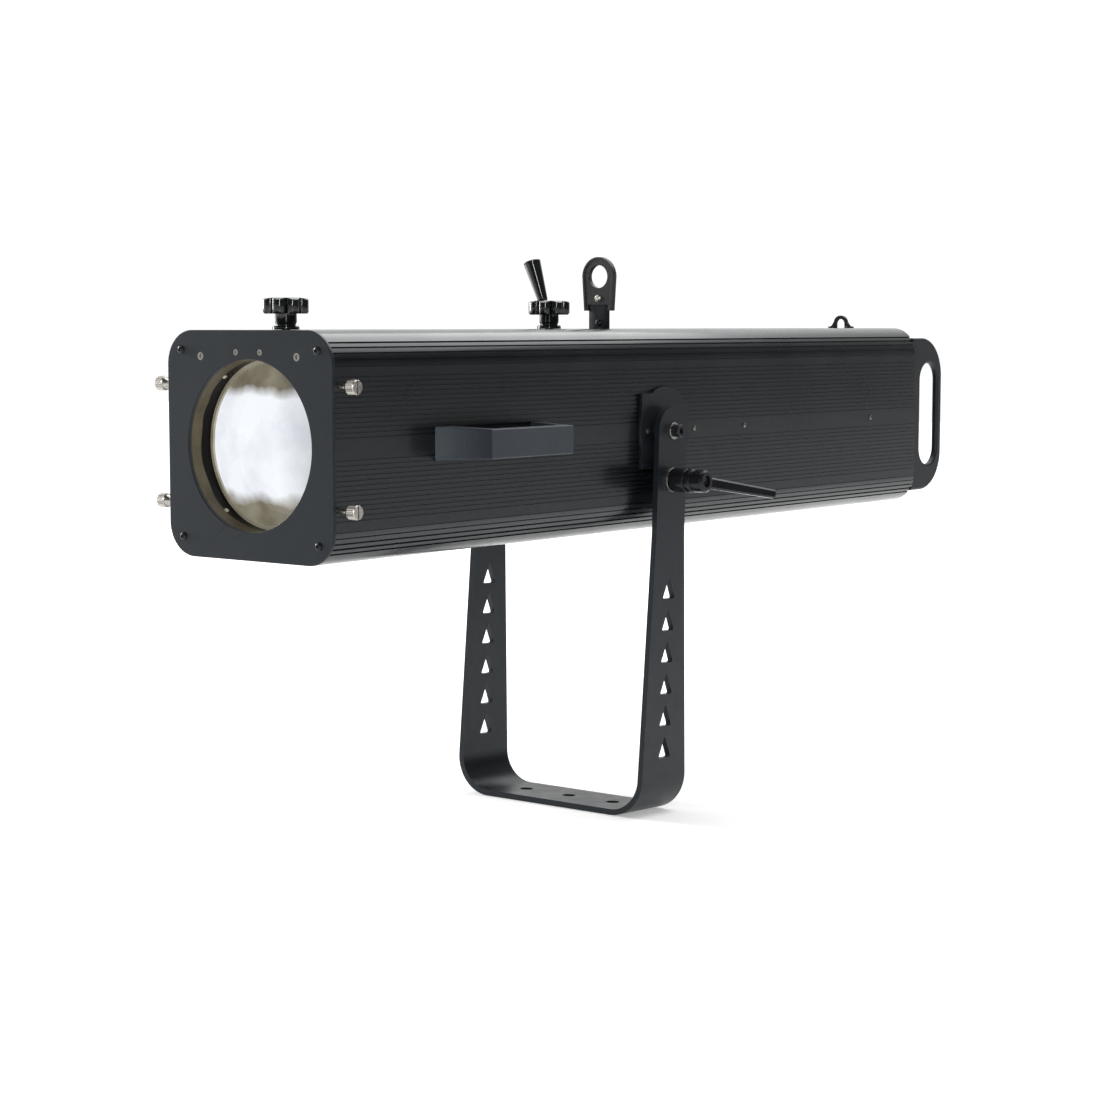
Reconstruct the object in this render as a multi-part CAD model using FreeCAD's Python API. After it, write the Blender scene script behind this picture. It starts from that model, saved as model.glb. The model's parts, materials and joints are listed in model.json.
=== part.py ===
import FreeCAD, Part
import math
import os

# Follow spot on a strap yoke, in millimetres.
# Part frame: +X right seen from the lens, +Y to the rear, +Z up, origin at the middle base hole's underside.
# The head is drawn level in its own frame (Y = 0 at the front plate's face, Z = 0 on the optical axis)
# and then tilted about the pivot and lifted onto the yoke.

V = FreeCAD.Vector
X_AXIS = V(1, 0, 0)
Y_AXIS = V(0, 1, 0)
Z_AXIS = V(0, 0, 1)
SIDES = (1, -1)

# Overall sizes
HOUSING_SIZE = 206.0          # width and height of the square housing
HOUSING_END = 1010.0          # front face to the rear end of the extrusion
CORNER_RADIUS = 31.0
WALL = 3.2
PLATE_THICKNESS = 3.0
APERTURE_MARGIN = 26.0        # housing side to the edge of the front aperture
REST_TILT = 2.3               # nose-down angle of the stored pose, degrees

# Ribs of the extrusion
BAND_HALF_HEIGHT = 8.0
FINE_GROOVES = 13
FINE_GROOVE_START = 9.9
FINE_GROOVE_PITCH = 4.41
FINE_GROOVE_WIDTH = 1.6
FINE_GROOVE_DEPTH = 1.3
CORNER_GROOVES = 5
CORNER_GROOVE_STEP = 10.0     # degrees round the corner
CORNER_GROOVE_WIDTH = 2.0
CORNER_GROOVE_DEPTH = 1.4

# Yoke
PIVOT_BACK = 483.0            # front face to the tilt axis
PIVOT_HEIGHT = 395.0          # underside of the yoke base to the tilt axis
STRAP_THICKNESS = 6.0
STRAP_WIDTH_TOP = 49.0
STRAP_WIDTH_BASE = 75.0
STRAP_STRAIGHT = 105.0        # length below the pivot before the strap widens
BEND_RADIUS = 40.0            # outer radius
ARM_GAP = 8.7                 # bracket plate's face to the arm's inner face
BASE_HOLE_RADIUS = 7.0
BASE_HOLE_SPACING = 57.5
TRIANGLE_COUNT = 6
TRIANGLE_PITCH = 32.75
TRIANGLE_START = 171.5        # pivot to the first triangle's base line
TRIANGLE_WIDTH = 21.0
TRIANGLE_HEIGHT = 23.0
TRIANGLE_CORNER = 1.6

# Pivot and brake
BRACKET_THICKNESS = 4.0
BRACKET_RADIUS = 44.0
BRACKET_SETBACK = 7.0         # round half's centre behind the pivot
BRACKET_REACH = 34.0          # forward reach of the square half
BRACKET_HALF_HEIGHT = 38.0
BRACKET_SCREW_OFFSET = 24.0
PIVOT_RADIUS = 4.0
BOLT_HEAD_RADIUS = 6.5
BOLT_HEAD_LENGTH = 8.0
BOLT_HEX = 6.0
PIVOT_WASHER_RADIUS = 8.5
PIVOT_WASHER_THICKNESS = 2.0
SPACER_RADIUS = 15.0
BOSS_RADIUS = 10.0
BOSS_DEPTH = 6.0
RUNNING_CLEARANCE = 0.05
FACE_CLEARANCE = 0.3
CLAMP_DROP = 50.0             # clamp axis below the pivot
CLAMP_RADIUS = 4.0
SHOE_HALF_WIDTH = 12.0
SHOE_TOP = 20.0
SHOE_BOTTOM = 13.0

# Clamp lever
CLAMP_WASHER_RADIUS = 12.3
CLAMP_WASHER_THICKNESS = 2.5
HUB_RADIUS = 12.2
HUB_LENGTH = 40.5
HUB_BORE_RADIUS = 6.8
HUB_BORE_DEPTH = 22.0
HUB_WEB = 4.0
HUB_COUNTERBORE_RADIUS = 6.0
STUD_HEAD_RADIUS = 6.4
LEVER_LENGTH = 98.0
LEVER_SPLAY = 20.0            # degrees outward
LEVER_DROOP = 8.2             # degrees below level
LEVER_ROOT_HEIGHT = 12.0
LEVER_TIP_HEIGHT = 9.0
LEVER_THICKNESS = 7.5
LEVER_CHAMFER = 1.8           # along the outer edges
LEVER_SCREW_RADIUS = 2.5
LEVER_SCREW_HEAD_RADIUS = 5.4
LEVER_SCREW_HEAD_LENGTH = 5.0
LEVER_TRAVEL = 4.0

# Front fixings
CORNER_SCREW_INSET = 18.0     # in from the housing sides
SCREW_PORT_RADIUS = 5.0
M4_RADIUS = 2.0
CORNER_SCREW_HEAD_RADIUS = 3.8
CORNER_SCREW_HEAD_HEIGHT = 2.2
OUTER_SCREW_OFFSET = 60.0
OUTER_SCREW_DROP = 23.5       # below the housing top
INNER_SCREW_OFFSET = 15.0
INNER_SCREW_DROP = 19.8
OUTER_SCREW_HEAD_RADIUS = 3.6
INNER_SCREW_HEAD_RADIUS = 2.7
BULKHEAD_THICKNESS = 5.0
BULKHEAD_CORNER = 22.0
THUMB_BACK = 9.0
THUMB_OFFSET = 54.0
THUMB_STEM_RADIUS = 2.8
THUMB_STEM_REACH = 11.6
THUMB_COLLAR_RADIUS = 5.4
THUMB_COLLAR_LENGTH = 4.0
THUMB_HEAD_RADIUS = 6.8
THUMB_SLOT_WIDTH = 1.4
THUMB_HEAD_LENGTH = 9.4
THUMB_KNURLS = 24
BAND_SCREW_PLACES = (547.0, 641.5)
TONGUE_SCREW_INSET = 104.0    # in from the housing's rear end
BAND_SCREW_HEAD_RADIUS = 2.4

# Optics
ROD_RADIUS = 4.0
ROD_INSET = 13.8              # rod axis in from the inner wall
CELL_WALL = 2.0
CELL_FRONT = 3.6
CELL_LENGTH = 61.4
FOCUS_LENS_FRONT = 30.0
FOCUS_LENS_EDGE = 6.0
FOCUS_LENS_CROWN = 10.0
LENS_RING_RADIAL = 3.0
LENS_RING_LENGTH = 2.5
CARRIAGE_THICKNESS = 12.0
FOCUS_PLACE = 48.8
FOCUS_TRAVEL = 130.0
ZOOM_PLACE = 433.0
ZOOM_TRAVEL = 100.0
ZOOM_LENS_RADIUS = 45.0
ZOOM_LENS_EDGE = 5.0
ZOOM_LENS_CROWN = 12.0
KNOB_STUD_RADIUS = 4.0
SLOT_HALF_WIDTH = 5.0
SLOT_END_ROOM = 8.0

# Star knobs
KNOB_RADIUS = 21.7
KNOB_LOBES = 8
KNOB_LOBE_RADIUS = 6.2
KNOB_HEAD_HEIGHT = 14.5
KNOB_NECK_HEIGHT = 10.5
KNOB_NECK_RADIUS = 10.0
KNOB_FLANGE_RADIUS = 12.3
KNOB_FLANGE_HEIGHT = 3.5
KNOB_EDGE = 2.2

# Iris
IRIS_PLACE = 484.0
IRIS_LEAN = 20.0              # degrees towards -X at rest
IRIS_OUTER_RADIUS = 80.0
IRIS_RING_RADIUS = 74.0
IRIS_RING_WALL = 26.0
IRIS_RING_THICKNESS = 10.0
IRIS_PLATE_THICKNESS = 5.0
IRIS_OPENING = 36.0
IRIS_LEAVES = 5
LEAF_THICKNESS = 0.6
LEAF_STEP = 1.0
LEAF_PIN_CIRCLE = 60.0
LEAF_PIN_RADIUS = 1.5
LEAF_MID_RADIUS = 48.0
LEAF_HALF_WIDTH = 9.0
LEAF_ARC = 95.0
IRIS_ROD_RADIUS = 4.0
IRIS_HANDLE_RISE = 37.0       # handle's foot beyond the housing top, along the lever
IRIS_HANDLE_LENGTH = 45.0
IRIS_HANDLE_SMALL = 5.5
IRIS_HANDLE_LARGE = 9.3
IRIS_HANDLE_BORE = 12.0

# Gate and drop-in slide
GATE_PLACE = 519.0
GATE_HALF_WIDTH = 62.0
GATE_DEPTH = 16.0
GATE_OPENING = 38.0
SLIDE_HALF_WIDTH = 51.0
SLIDE_THICKNESS = 2.0
SLIDE_CLEARANCE = 0.5
SLIDE_OPENING = 33.0
PULL_HALF_WIDTH = 13.0
PULL_RISE = 37.0              # slide's strap above the housing top
PADDLE_FOOT_RISE = 19.0
PADDLE_RISE = 75.3
PADDLE_RADIUS = 20.5
PADDLE_HOLE_RADIUS = 12.0
PADDLE_FOOT = 18.0
PADDLE_MOUTH = 6.2            # height of the open front at the foot
PADDLE_THICKNESS = 6.0
PADDLE_RIM = 1.2
PADDLE_SCREW_RISES = (6.3, 32.0)
PADDLE_SCREW_RADIUS = 3.6

# Lamp
TRAY_THICKNESS = 3.0
TRAY_HALF_WIDTH = 70.0
TRAY_START = 540.0
TRAY_INSET = 25.0             # tray end in from the housing's rear end
FOOT_HALF_WIDTH = 30.0
CONDENSER_PLACE = 570.0
CONDENSER_RADIUS = 46.0
CONDENSER_EDGE = 6.0
CONDENSER_CROWN = 18.0
LED_PLACE = 640.0
LED_BOARD_RADIUS = 40.0
LED_BOARD_THICKNESS = 3.0
LED_DIE_RADIUS = 14.0
SINK_LENGTH = 100.0
SINK_HALF_WIDTH = 75.0
SINK_BASE = 12.0
SINK_FINS = 12
SINK_FIN_THICKNESS = 2.5
FAN_SIZE = 120.0
FAN_DEPTH = 25.0
FAN_HUB_RADIUS = 20.0
FAN_PIN_RADIUS = 3.0
FAN_BLADES = 7
FAN_GAP = 3.0
SUPPLY_PLACE = 815.0
SUPPLY_LENGTH = 150.0
SUPPLY_HALF_WIDTH = 58.0
SUPPLY_HEIGHT = 90.0
SUPPLY_WALL = 2.0
SUPPLY_SLOTS = 10

# Rear
REAR_PANEL_INSET = 12.0       # in from the housing's rear end
REAR_PANEL_THICKNESS = 3.0
REAR_ROW_HEIGHT = 29.8        # inlet and switch above the inner floor
INLET_OFFSET = -36.0
INLET_WIDTH = 48.0
INLET_HEIGHT = 30.0
INLET_DEPTH = 20.0
SWITCH_OFFSET = 22.0
SWITCH_WIDTH = 20.0
SWITCH_HEIGHT = 26.0
ROCKER_TIP = 8.0              # degrees either side of level
SOCKET_RADIUS = 11.5
SOCKET_OFFSET = 25.0
SOCKET_RISE = 69.8            # above the inner floor
VENT_SLOTS = 9
VENT_PITCH = 8.0
VENT_HEIGHT = 3.5
VENT_HALF_WIDTH = 50.0
VENT_RISE = 114.8             # lowest slot above the inner floor
EAR_THICKNESS = 8.0
EAR_REACH = 71.0              # behind the housing
EAR_MARGIN = 12.0             # below the housing top
EAR_TONGUE_HALF_HEIGHT = 68.0
EAR_TONGUE_LENGTH = 110.0
EAR_CORNER = 46.0
EAR_SLOT_SETBACK = 39.4       # slot centre behind the housing
EAR_SLOT_RADIUS = 20.5
EAR_SLOT_HALF_HEIGHT = 61.0
EAR_EDGE = 3.0

# Side handles and safety eye
HANDLE_FRONT = 134.5
HANDLE_REAR = 298.0
HANDLE_ROOT_HEIGHT = 31.0
HANDLE_GRIP_HEIGHT = 27.0
HANDLE_REACH = 50.0
HANDLE_GRIP_THICKNESS = 11.0
HANDLE_SWEEP = 21.5           # the legs draw in by this much from root to grip
HANDLE_SWEEP_RADIUS = 68.9
HANDLE_ROOT_WIDTH = 24.0
HANDLE_EDGE = 1.5
HANDLE_SCREW_INSET = 13.0
EYE_OFFSET = 18.5
EYE_INSET = 32.0              # in from the housing's rear end
EYE_WIDTH = 34.0
EYE_HEIGHT = 15.0
EYE_HOLE = 6.0
EYE_THICKNESS = 4.0

# Fine details of the small pieces
PARALLEL = 0.99               # direction cosine of an edge that counts as parallel
TINY = 1e-6
DRILL_LENGTH = 40.0           # reaches through any wall or bulkhead
WALL_DRILL = 5 * WALL
SHOE_RECESS = 1.5             # depth of shoe metal behind the stud
STUD_TAP_DEPTH = 10.0
WASHER_LOOSENESS = 0.2
WASHER_RELIEF = 0.1
HUB_STEPS = ((0, -1.0), (1, 0), (17, 0), (17.8, -1.0), (18.6, 0), (24, 0), (25, -1.4), (27, -1.4), (28, -0.6))
HUB_NOSE = ((-2, -0.8), (0, -3.0))
LEVER_ROOT_INSET = 12.0
LEVER_ROOT_REACH = 4.0
LEVER_TAPER = 1.5
LEVER_SHANK_LOOSENESS = 0.3
LEVER_SCREW_LIFT = 1.2
LEVER_SCREW_ENTRY = 9.0
LEVER_SOCKET = 5.0
BOLT_EDGE = 0.8
CORNER_SOCKET = 2.5
CORNER_SOCKET_DEPTH = 2.4
CORNER_SCREW_DOME = ((1.0, 0.55), (0.7, 0.85), (0.3, 1.0), (0, 1.0))
RIM_EDGE_LENGTH = 40.0        # shorter edges belong to the screw holes
PORT_RELIEF_SHIFT = 8.0
PORT_RELIEF = 12.0
BAND_SCREW_EDGE = 0.9
THUMB_EDGE = 0.9
CARRIAGE_EAR_HALF = 9.0
CARRIAGE_PAD_HALF = 14.0
KNOB_STUD_ROOT = 10.0
IRIS_HANDLE_EDGE = 0.8
LEAF_EAR_RADIUS = 6.0
GATE_FOOT_HALF = 6.0
GATE_FOOT_THICKNESS = 3.0
PADDLE_STRAP_CLEARANCE = 0.3
PADDLE_SCREW_HEAD = 1.8
CONDENSER_HOLDER_WALL = 12.0
CONDENSER_HOLDER_CORNER = 15.0
LED_DIE_RISE = 1.5
FAN_CORNER = 6.0
FAN_WALL = 4.0
FAN_SPOKE = 3.0
FAN_PIN_START = 6.0
FAN_BLADE_HALF = 9.0
FAN_BLADE_PITCH = 30.0        # degrees
SUPPLY_SLOT_START = 15.0
SUPPLY_SLOT_PITCH = 12.0
SUPPLY_SLOT_WIDTH = 4.0
SUPPLY_SLOT_HALF = 40.0
REAR_PORT_CLEARANCE = 2.5
INLET_MOUTH_WIDTH = 28.0
INLET_MOUTH_HEIGHT = 18.0
INLET_MOUTH_DEPTH = 14.0
INLET_PINS = ((-7, -2), (0, 2), (7, -2))
SWITCH_BODY_DEPTH = 12.0
SWITCH_WELL_DEPTH = 8.0
SWITCH_LIP = 1.5
ROCKER_GAP = 2.4
SOCKET_DEPTH = 15.0
SOCKET_WALL = 3.0
SOCKET_MOUTH_DEPTH = 10.0
SOCKET_PIN_RADIUS = 1.2
SOCKET_PIN_CIRCLE = 4.0
EAR_SIDE_CLEARANCE = 0.1
HANDLE_ROOT_BLEND = 8.0
HANDLE_SCREW_HEAD_RADIUS = 4.0
HANDLE_SCREW_HEAD_LENGTH = 2.5
EYE_FOOT_RADIUS = 5.0
EYE_FOOT_INSET = 5.0
EYE_RIM = 1.5
EYE_NECK = ((7, 10), (-7, 10))
ZOOM_LENS_MARGIN = 8.0

HALF = HOUSING_SIZE / 2
INNER_HALF = HALF - WALL
PLATE_BACK = PLATE_THICKNESS
BRACKET_FACE = HALF + BRACKET_THICKNESS
ARM_INNER = BRACKET_FACE + ARM_GAP
ARM_OUTER = ARM_INNER + STRAP_THICKNESS
APERTURE_RADIUS = HALF - APERTURE_MARGIN
CELL_OUTER_RADIUS = APERTURE_RADIUS + CELL_WALL
CORNER_SCREW_PLACE = HALF - CORNER_SCREW_INSET
ROD_PLACE = INNER_HALF - ROD_INSET
IRIS_HANDLE_START = HALF + IRIS_HANDLE_RISE
PULL_TOP = HALF + PULL_RISE
PADDLE_BOTTOM = HALF + PADDLE_FOOT_RISE
PADDLE_CENTRE = HALF + PADDLE_RISE - PADDLE_RADIUS
REAR_PANEL_PLACE = HOUSING_END - REAR_PANEL_INSET
REAR_FACE = REAR_PANEL_PLACE + REAR_PANEL_THICKNESS
REAR_ROW = REAR_ROW_HEIGHT - INNER_HALF
SOCKET_HEIGHT = SOCKET_RISE - INNER_HALF
TONGUE_SCREW_PLACE = HOUSING_END - TONGUE_SCREW_INSET
EAR_TONGUE_START = HOUSING_END - EAR_TONGUE_LENGTH
EAR_END = HOUSING_END + EAR_REACH
EAR_SLOT_CENTRE = HOUSING_END + EAR_SLOT_SETBACK
EYE_BACK = HOUSING_END - EYE_INSET
SIDE_SCREW_PLACES = BAND_SCREW_PLACES + (TONGUE_SCREW_PLACE,)


def box(low, high):
    size = V(*high) - V(*low)
    return Part.makeBox(size.x, size.y, size.z, V(*low))


def rod(radius, start, axis, length):
    return Part.makeCylinder(radius, length, V(*start), axis)


def tube(outer, inner, start, axis, length):
    return rod(outer, start, axis, length).cut(rod(inner, start, axis, length))


def fuse(shapes):
    first = shapes[0]
    return first.multiFuse(shapes[1:]).removeSplitter() if len(shapes) > 1 else first


def rounded_rectangle(half_width, half_height, radius, y):
    """Face in an XZ plane, centred on the optical axis."""
    lines = []
    corners = []
    for sx, sz, start in ((1, 1, 0), (-1, 1, 90), (-1, -1, 180), (1, -1, 270)):
        centre = V(sx * (half_width - radius), y, sz * (half_height - radius))
        points = []
        for angle in (start, start + 45, start + 90):
            turn = math.radians(angle)
            points.append(centre + V(radius * math.cos(turn), 0, radius * math.sin(turn)))
        corners.append(points)
    for index, points in enumerate(corners):
        following = corners[(index + 1) % 4]
        lines.append(Part.Arc(*points).toShape())
        lines.append(Part.LineSegment(points[-1], following[0]).toShape())
    return Part.Face(Part.Wire(lines))


def rounded_prism(half_width, half_height, radius, y, length):
    return rounded_rectangle(half_width, half_height, radius, y).extrude(V(0, length, 0))


def polygon_prism(points, direction):
    """Straight-edged outline, given as vectors, pushed along a direction."""
    return Part.Face(Part.makePolygon(points + points[:1])).extrude(direction)


def revolved(profile, origin, axis, across):
    """Solid of revolution: profile is (distance along axis, radius) from start to end."""
    start, end = profile[0][0], profile[-1][0]
    outline = [(start, 0.0)] + list(profile) + [(end, 0.0)]
    points = [V(*origin) + axis * along + across * radius for along, radius in outline]
    return Part.Face(Part.makePolygon(points + points[:1])).revolve(V(*origin), axis, 360)


def hexagon_prism(flats, start, axis, across, length):
    side = axis.cross(across)
    points = []
    for index in range(6):
        turn = math.radians(60 * index)
        reach = flats / math.sqrt(3)
        points.append(V(*start) + across * (reach * math.cos(turn)) + side * (reach * math.sin(turn)))
    return polygon_prism(points, axis * length)


def cross_cut(start, axis, across, size, depth):
    """Cross recess of a screw head."""
    side = axis.cross(across)
    bars = []
    for along, over in ((across, side), (side, across)):
        corner = V(*start) - along * (size / 2) - over * (size / 8)
        points = [corner, corner + along * size, corner + along * size + over * (size / 4),
                  corner + over * (size / 4)]
        bars.append(polygon_prism(points, axis * depth))
    return fuse(bars)


def lens(radius, front, edge, crown):
    """Plano-convex lens: domed towards -Y, flat at the back."""
    ball = (radius * radius + crown * crown) / (2 * crown)
    centre = V(0, front - crown + ball, 0)
    blank = rod(radius, (0, front - crown, 0), Y_AXIS, crown + edge)
    dome = Part.makeSphere(ball, centre).fuse(rod(radius, (0, front, 0), Y_AXIS, edge))
    return blank.common(dome)


def head_place():
    level = FreeCAD.Placement(V(0, -PIVOT_BACK, 0), FreeCAD.Rotation())
    tilt = FreeCAD.Placement(V(0, 0, PIVOT_HEIGHT), FreeCAD.Rotation(X_AXIS, REST_TILT))
    return tilt.multiply(level)


def save(name, solids, on_head=True):
    pieces = []
    for solid in solids:
        piece = solid.copy()
        if on_head:
            piece.Placement = head_place().multiply(piece.Placement)
        pieces.extend(piece.Solids)
    shape = pieces[0] if len(pieces) == 1 else Part.makeCompound(pieces)
    if not shape.isValid():
        raise ValueError(name + " is not a valid solid")
    shape.exportStep("parts/" + name + ".step")


# Yoke ------------------------------------------------------------------------------------------

def strap_outline(half_width, radius, bottom, top):
    """U-shaped outline in an XZ plane, closed across the top."""
    low = bottom + radius
    turn = radius * (1 - math.sqrt(0.5))
    right_arc = Part.Arc(V(half_width, 0, low), V(half_width - turn, 0, bottom + turn),
                         V(half_width - radius, 0, bottom))
    left_arc = Part.Arc(V(radius - half_width, 0, bottom), V(turn - half_width, 0, bottom + turn),
                        V(-half_width, 0, low))
    edges = [
        Part.LineSegment(V(half_width, 0, top), V(half_width, 0, low)),
        right_arc,
        Part.LineSegment(V(half_width - radius, 0, bottom), V(radius - half_width, 0, bottom)),
        left_arc,
        Part.LineSegment(V(-half_width, 0, low), V(-half_width, 0, top)),
        Part.LineSegment(V(-half_width, 0, top), V(half_width, 0, top)),
    ]
    return Part.Face(Part.Wire([edge.toShape() for edge in edges]))


def triangle_hole(base_height):
    """Rounded triangular hole through both arms, apex up."""
    half = TRIANGLE_WIDTH / 2
    reach = ARM_OUTER + STRAP_THICKNESS
    corners = [V(-reach, -half, base_height), V(-reach, half, base_height),
               V(-reach, 0, base_height + TRIANGLE_HEIGHT)]
    prism = polygon_prism(corners, V(2 * reach, 0, 0))
    along = [edge for edge in prism.Edges if abs(edge.tangentAt(edge.FirstParameter).x) > PARALLEL]
    return prism.makeFillet(TRIANGLE_CORNER, along)


def make_yoke():
    top = PIVOT_HEIGHT + STRAP_WIDTH_TOP / 2
    depth = 2 * STRAP_WIDTH_BASE
    outer = strap_outline(ARM_OUTER, BEND_RADIUS, 0.0, top)
    inner = strap_outline(ARM_INNER, BEND_RADIUS - STRAP_THICKNESS, STRAP_THICKNESS, top)
    strap = outer.cut(inner).extrude(V(0, depth, 0))
    strap.translate(V(0, -depth / 2, 0))
    narrow = STRAP_WIDTH_TOP / 2
    wide = STRAP_WIDTH_BASE / 2
    shoulder = PIVOT_HEIGHT - STRAP_STRAIGHT
    reach = ARM_OUTER + STRAP_THICKNESS
    outline = [(-narrow, PIVOT_HEIGHT), (-narrow, shoulder), (-wide, BEND_RADIUS), (-wide, -STRAP_THICKNESS),
               (wide, -STRAP_THICKNESS), (wide, BEND_RADIUS), (narrow, shoulder), (narrow, PIVOT_HEIGHT)]
    side = polygon_prism([V(-reach, y, z) for y, z in outline], V(2 * reach, 0, 0))
    side = side.fuse(rod(narrow, (-reach, 0, PIVOT_HEIGHT), X_AXIS, 2 * reach))
    cuts = [rod(PIVOT_RADIUS + RUNNING_CLEARANCE, (-reach, 0, PIVOT_HEIGHT), X_AXIS, 2 * reach),
            rod(CLAMP_RADIUS + RUNNING_CLEARANCE, (0, 0, PIVOT_HEIGHT - CLAMP_DROP), X_AXIS, reach)]
    for x in (-BASE_HOLE_SPACING, 0, BASE_HOLE_SPACING):
        cuts.append(rod(BASE_HOLE_RADIUS, (x, 0, -STRAP_THICKNESS), Z_AXIS, 3 * STRAP_THICKNESS))
    for index in range(TRIANGLE_COUNT):
        cuts.append(triangle_hole(PIVOT_HEIGHT - TRIANGLE_START - index * TRIANGLE_PITCH))
    return strap.common(side).cut(Part.makeCompound(cuts))


def make_brake_shoe():
    height = PIVOT_HEIGHT - CLAMP_DROP
    start = BRACKET_FACE + FACE_CLEARANCE
    end = ARM_INNER - FACE_CLEARANCE
    block = box((start, -SHOE_HALF_WIDTH, height - SHOE_BOTTOM), (end, SHOE_HALF_WIDTH, height + SHOE_TOP))
    upright = [edge for edge in block.Edges if abs(edge.tangentAt(0).x) > PARALLEL]
    block = block.makeFillet(SHOE_HALF_WIDTH / 3, upright)
    return block.cut(rod(CLAMP_RADIUS + RUNNING_CLEARANCE, (start + SHOE_RECESS, 0, height), X_AXIS, ARM_GAP))


def stud_head_start():
    return ARM_OUTER + CLAMP_WASHER_THICKNESS


def hub_start():
    return stud_head_start() + FACE_CLEARANCE


def web_start():
    return hub_start() + HUB_BORE_DEPTH


def make_clamp_stud():
    height = PIVOT_HEIGHT - CLAMP_DROP
    inner = BRACKET_FACE + FACE_CLEARANCE + SHOE_RECESS + FACE_CLEARANCE
    head_end = web_start() - FACE_CLEARANCE
    shank = rod(CLAMP_RADIUS, (inner, 0, height), X_AXIS, stud_head_start() - inner)
    head = rod(STUD_HEAD_RADIUS, (stud_head_start(), 0, height), X_AXIS, head_end - stud_head_start())
    hole = rod(LEVER_SCREW_RADIUS, (head_end - STUD_TAP_DEPTH, 0, height), X_AXIS, STUD_TAP_DEPTH + 1)
    return shank.fuse(head).cut(hole)


def make_clamp_washer():
    height = PIVOT_HEIGHT - CLAMP_DROP
    return tube(CLAMP_WASHER_RADIUS, CLAMP_RADIUS + WASHER_LOOSENESS, (ARM_OUTER, 0, height), X_AXIS,
                CLAMP_WASHER_THICKNESS - WASHER_RELIEF)


def make_clamp_lever():
    height = PIVOT_HEIGHT - CLAMP_DROP
    start = hub_start()
    profile = [(reach, HUB_RADIUS + step) for reach, step in HUB_STEPS]
    profile += [(HUB_LENGTH + reach, HUB_RADIUS + step) for reach, step in HUB_NOSE]
    hub = revolved(profile, (start, 0, height), X_AXIS, Z_AXIS)
    splay = math.radians(LEVER_SPLAY)
    along = V(math.sin(splay), math.cos(splay), 0)
    out = V(math.cos(splay), -math.sin(splay), 0)
    root = V(start + HUB_LENGTH - LEVER_ROOT_INSET, 0, height)
    wires = []
    for reach, tall, thick in ((LEVER_ROOT_REACH, LEVER_ROOT_HEIGHT, LEVER_THICKNESS + 1),
                               (LEVER_LENGTH, LEVER_TIP_HEIGHT, LEVER_THICKNESS - LEVER_TAPER)):
        centre = root + along * reach
        thin = thick / 2 - LEVER_CHAMFER
        low = tall / 2 - LEVER_CHAMFER
        section = ((-thick / 2, -tall / 2), (thin, -tall / 2), (thick / 2, -low), (thick / 2, low),
                   (thin, tall / 2), (-thick / 2, tall / 2))
        corners = [centre + out * across + Z_AXIS * up for across, up in section]
        wires.append(Part.makePolygon(corners + corners[:1]))
    arm = Part.makeLoft(wires, True, True)
    lever = hub.fuse(arm).removeSplitter()
    bore = rod(HUB_BORE_RADIUS, (start - 1, 0, height), X_AXIS, HUB_BORE_DEPTH + 1)
    shank_hole = rod(LEVER_SCREW_RADIUS + LEVER_SHANK_LOOSENESS, (start, 0, height), X_AXIS, HUB_LENGTH)
    seat = web_start() + HUB_WEB
    counterbore = rod(HUB_COUNTERBORE_RADIUS, (seat, 0, height), X_AXIS, HUB_LENGTH)
    lever = lever.cut(Part.makeCompound([bore, shank_hole, counterbore]))
    lever.rotate(V(0, 0, height), X_AXIS, -LEVER_DROOP)
    return lever


def make_lever_screw():
    height = PIVOT_HEIGHT - CLAMP_DROP
    head = web_start() + HUB_WEB + LEVER_TRAVEL + LEVER_SCREW_LIFT
    tip = web_start() - FACE_CLEARANCE - LEVER_SCREW_ENTRY
    screw = rod(LEVER_SCREW_RADIUS, (tip, 0, height), X_AXIS, head - tip)
    screw = screw.fuse(rod(LEVER_SCREW_HEAD_RADIUS, (head, 0, height), X_AXIS, LEVER_SCREW_HEAD_LENGTH))
    socket = hexagon_prism(LEVER_SOCKET, (head + 2, 0, height), X_AXIS, Z_AXIS, LEVER_SCREW_HEAD_LENGTH)
    return screw.cut(socket)


# Pivot, on the head ----------------------------------------------------------------------------

def make_bracket_plate(side):
    disc = rod(BRACKET_RADIUS, (HALF, PIVOT_BACK + BRACKET_SETBACK, 0), X_AXIS, BRACKET_THICKNESS)
    square = box((HALF, PIVOT_BACK - BRACKET_REACH, -BRACKET_HALF_HEIGHT),
                 (BRACKET_FACE, PIVOT_BACK, BRACKET_HALF_HEIGHT))
    boss = rod(BOSS_RADIUS, (HALF - BOSS_DEPTH, PIVOT_BACK, 0), X_AXIS, BOSS_DEPTH)
    plate = fuse([disc, square, boss])
    cuts = [rod(PIVOT_RADIUS, (HALF - BOSS_DEPTH, PIVOT_BACK, 0), X_AXIS, BOSS_DEPTH + BRACKET_THICKNESS)]
    for offset in (-BRACKET_SCREW_OFFSET, BRACKET_SCREW_OFFSET):
        cuts.append(rod(M4_RADIUS, (HALF, PIVOT_BACK + offset, 0), X_AXIS, BRACKET_THICKNESS))
    return mirrored(plate.cut(Part.makeCompound(cuts)), side)


def mirrored(shape, side):
    return shape if side > 0 else shape.mirror(V(0, 0, 0), X_AXIS)


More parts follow.
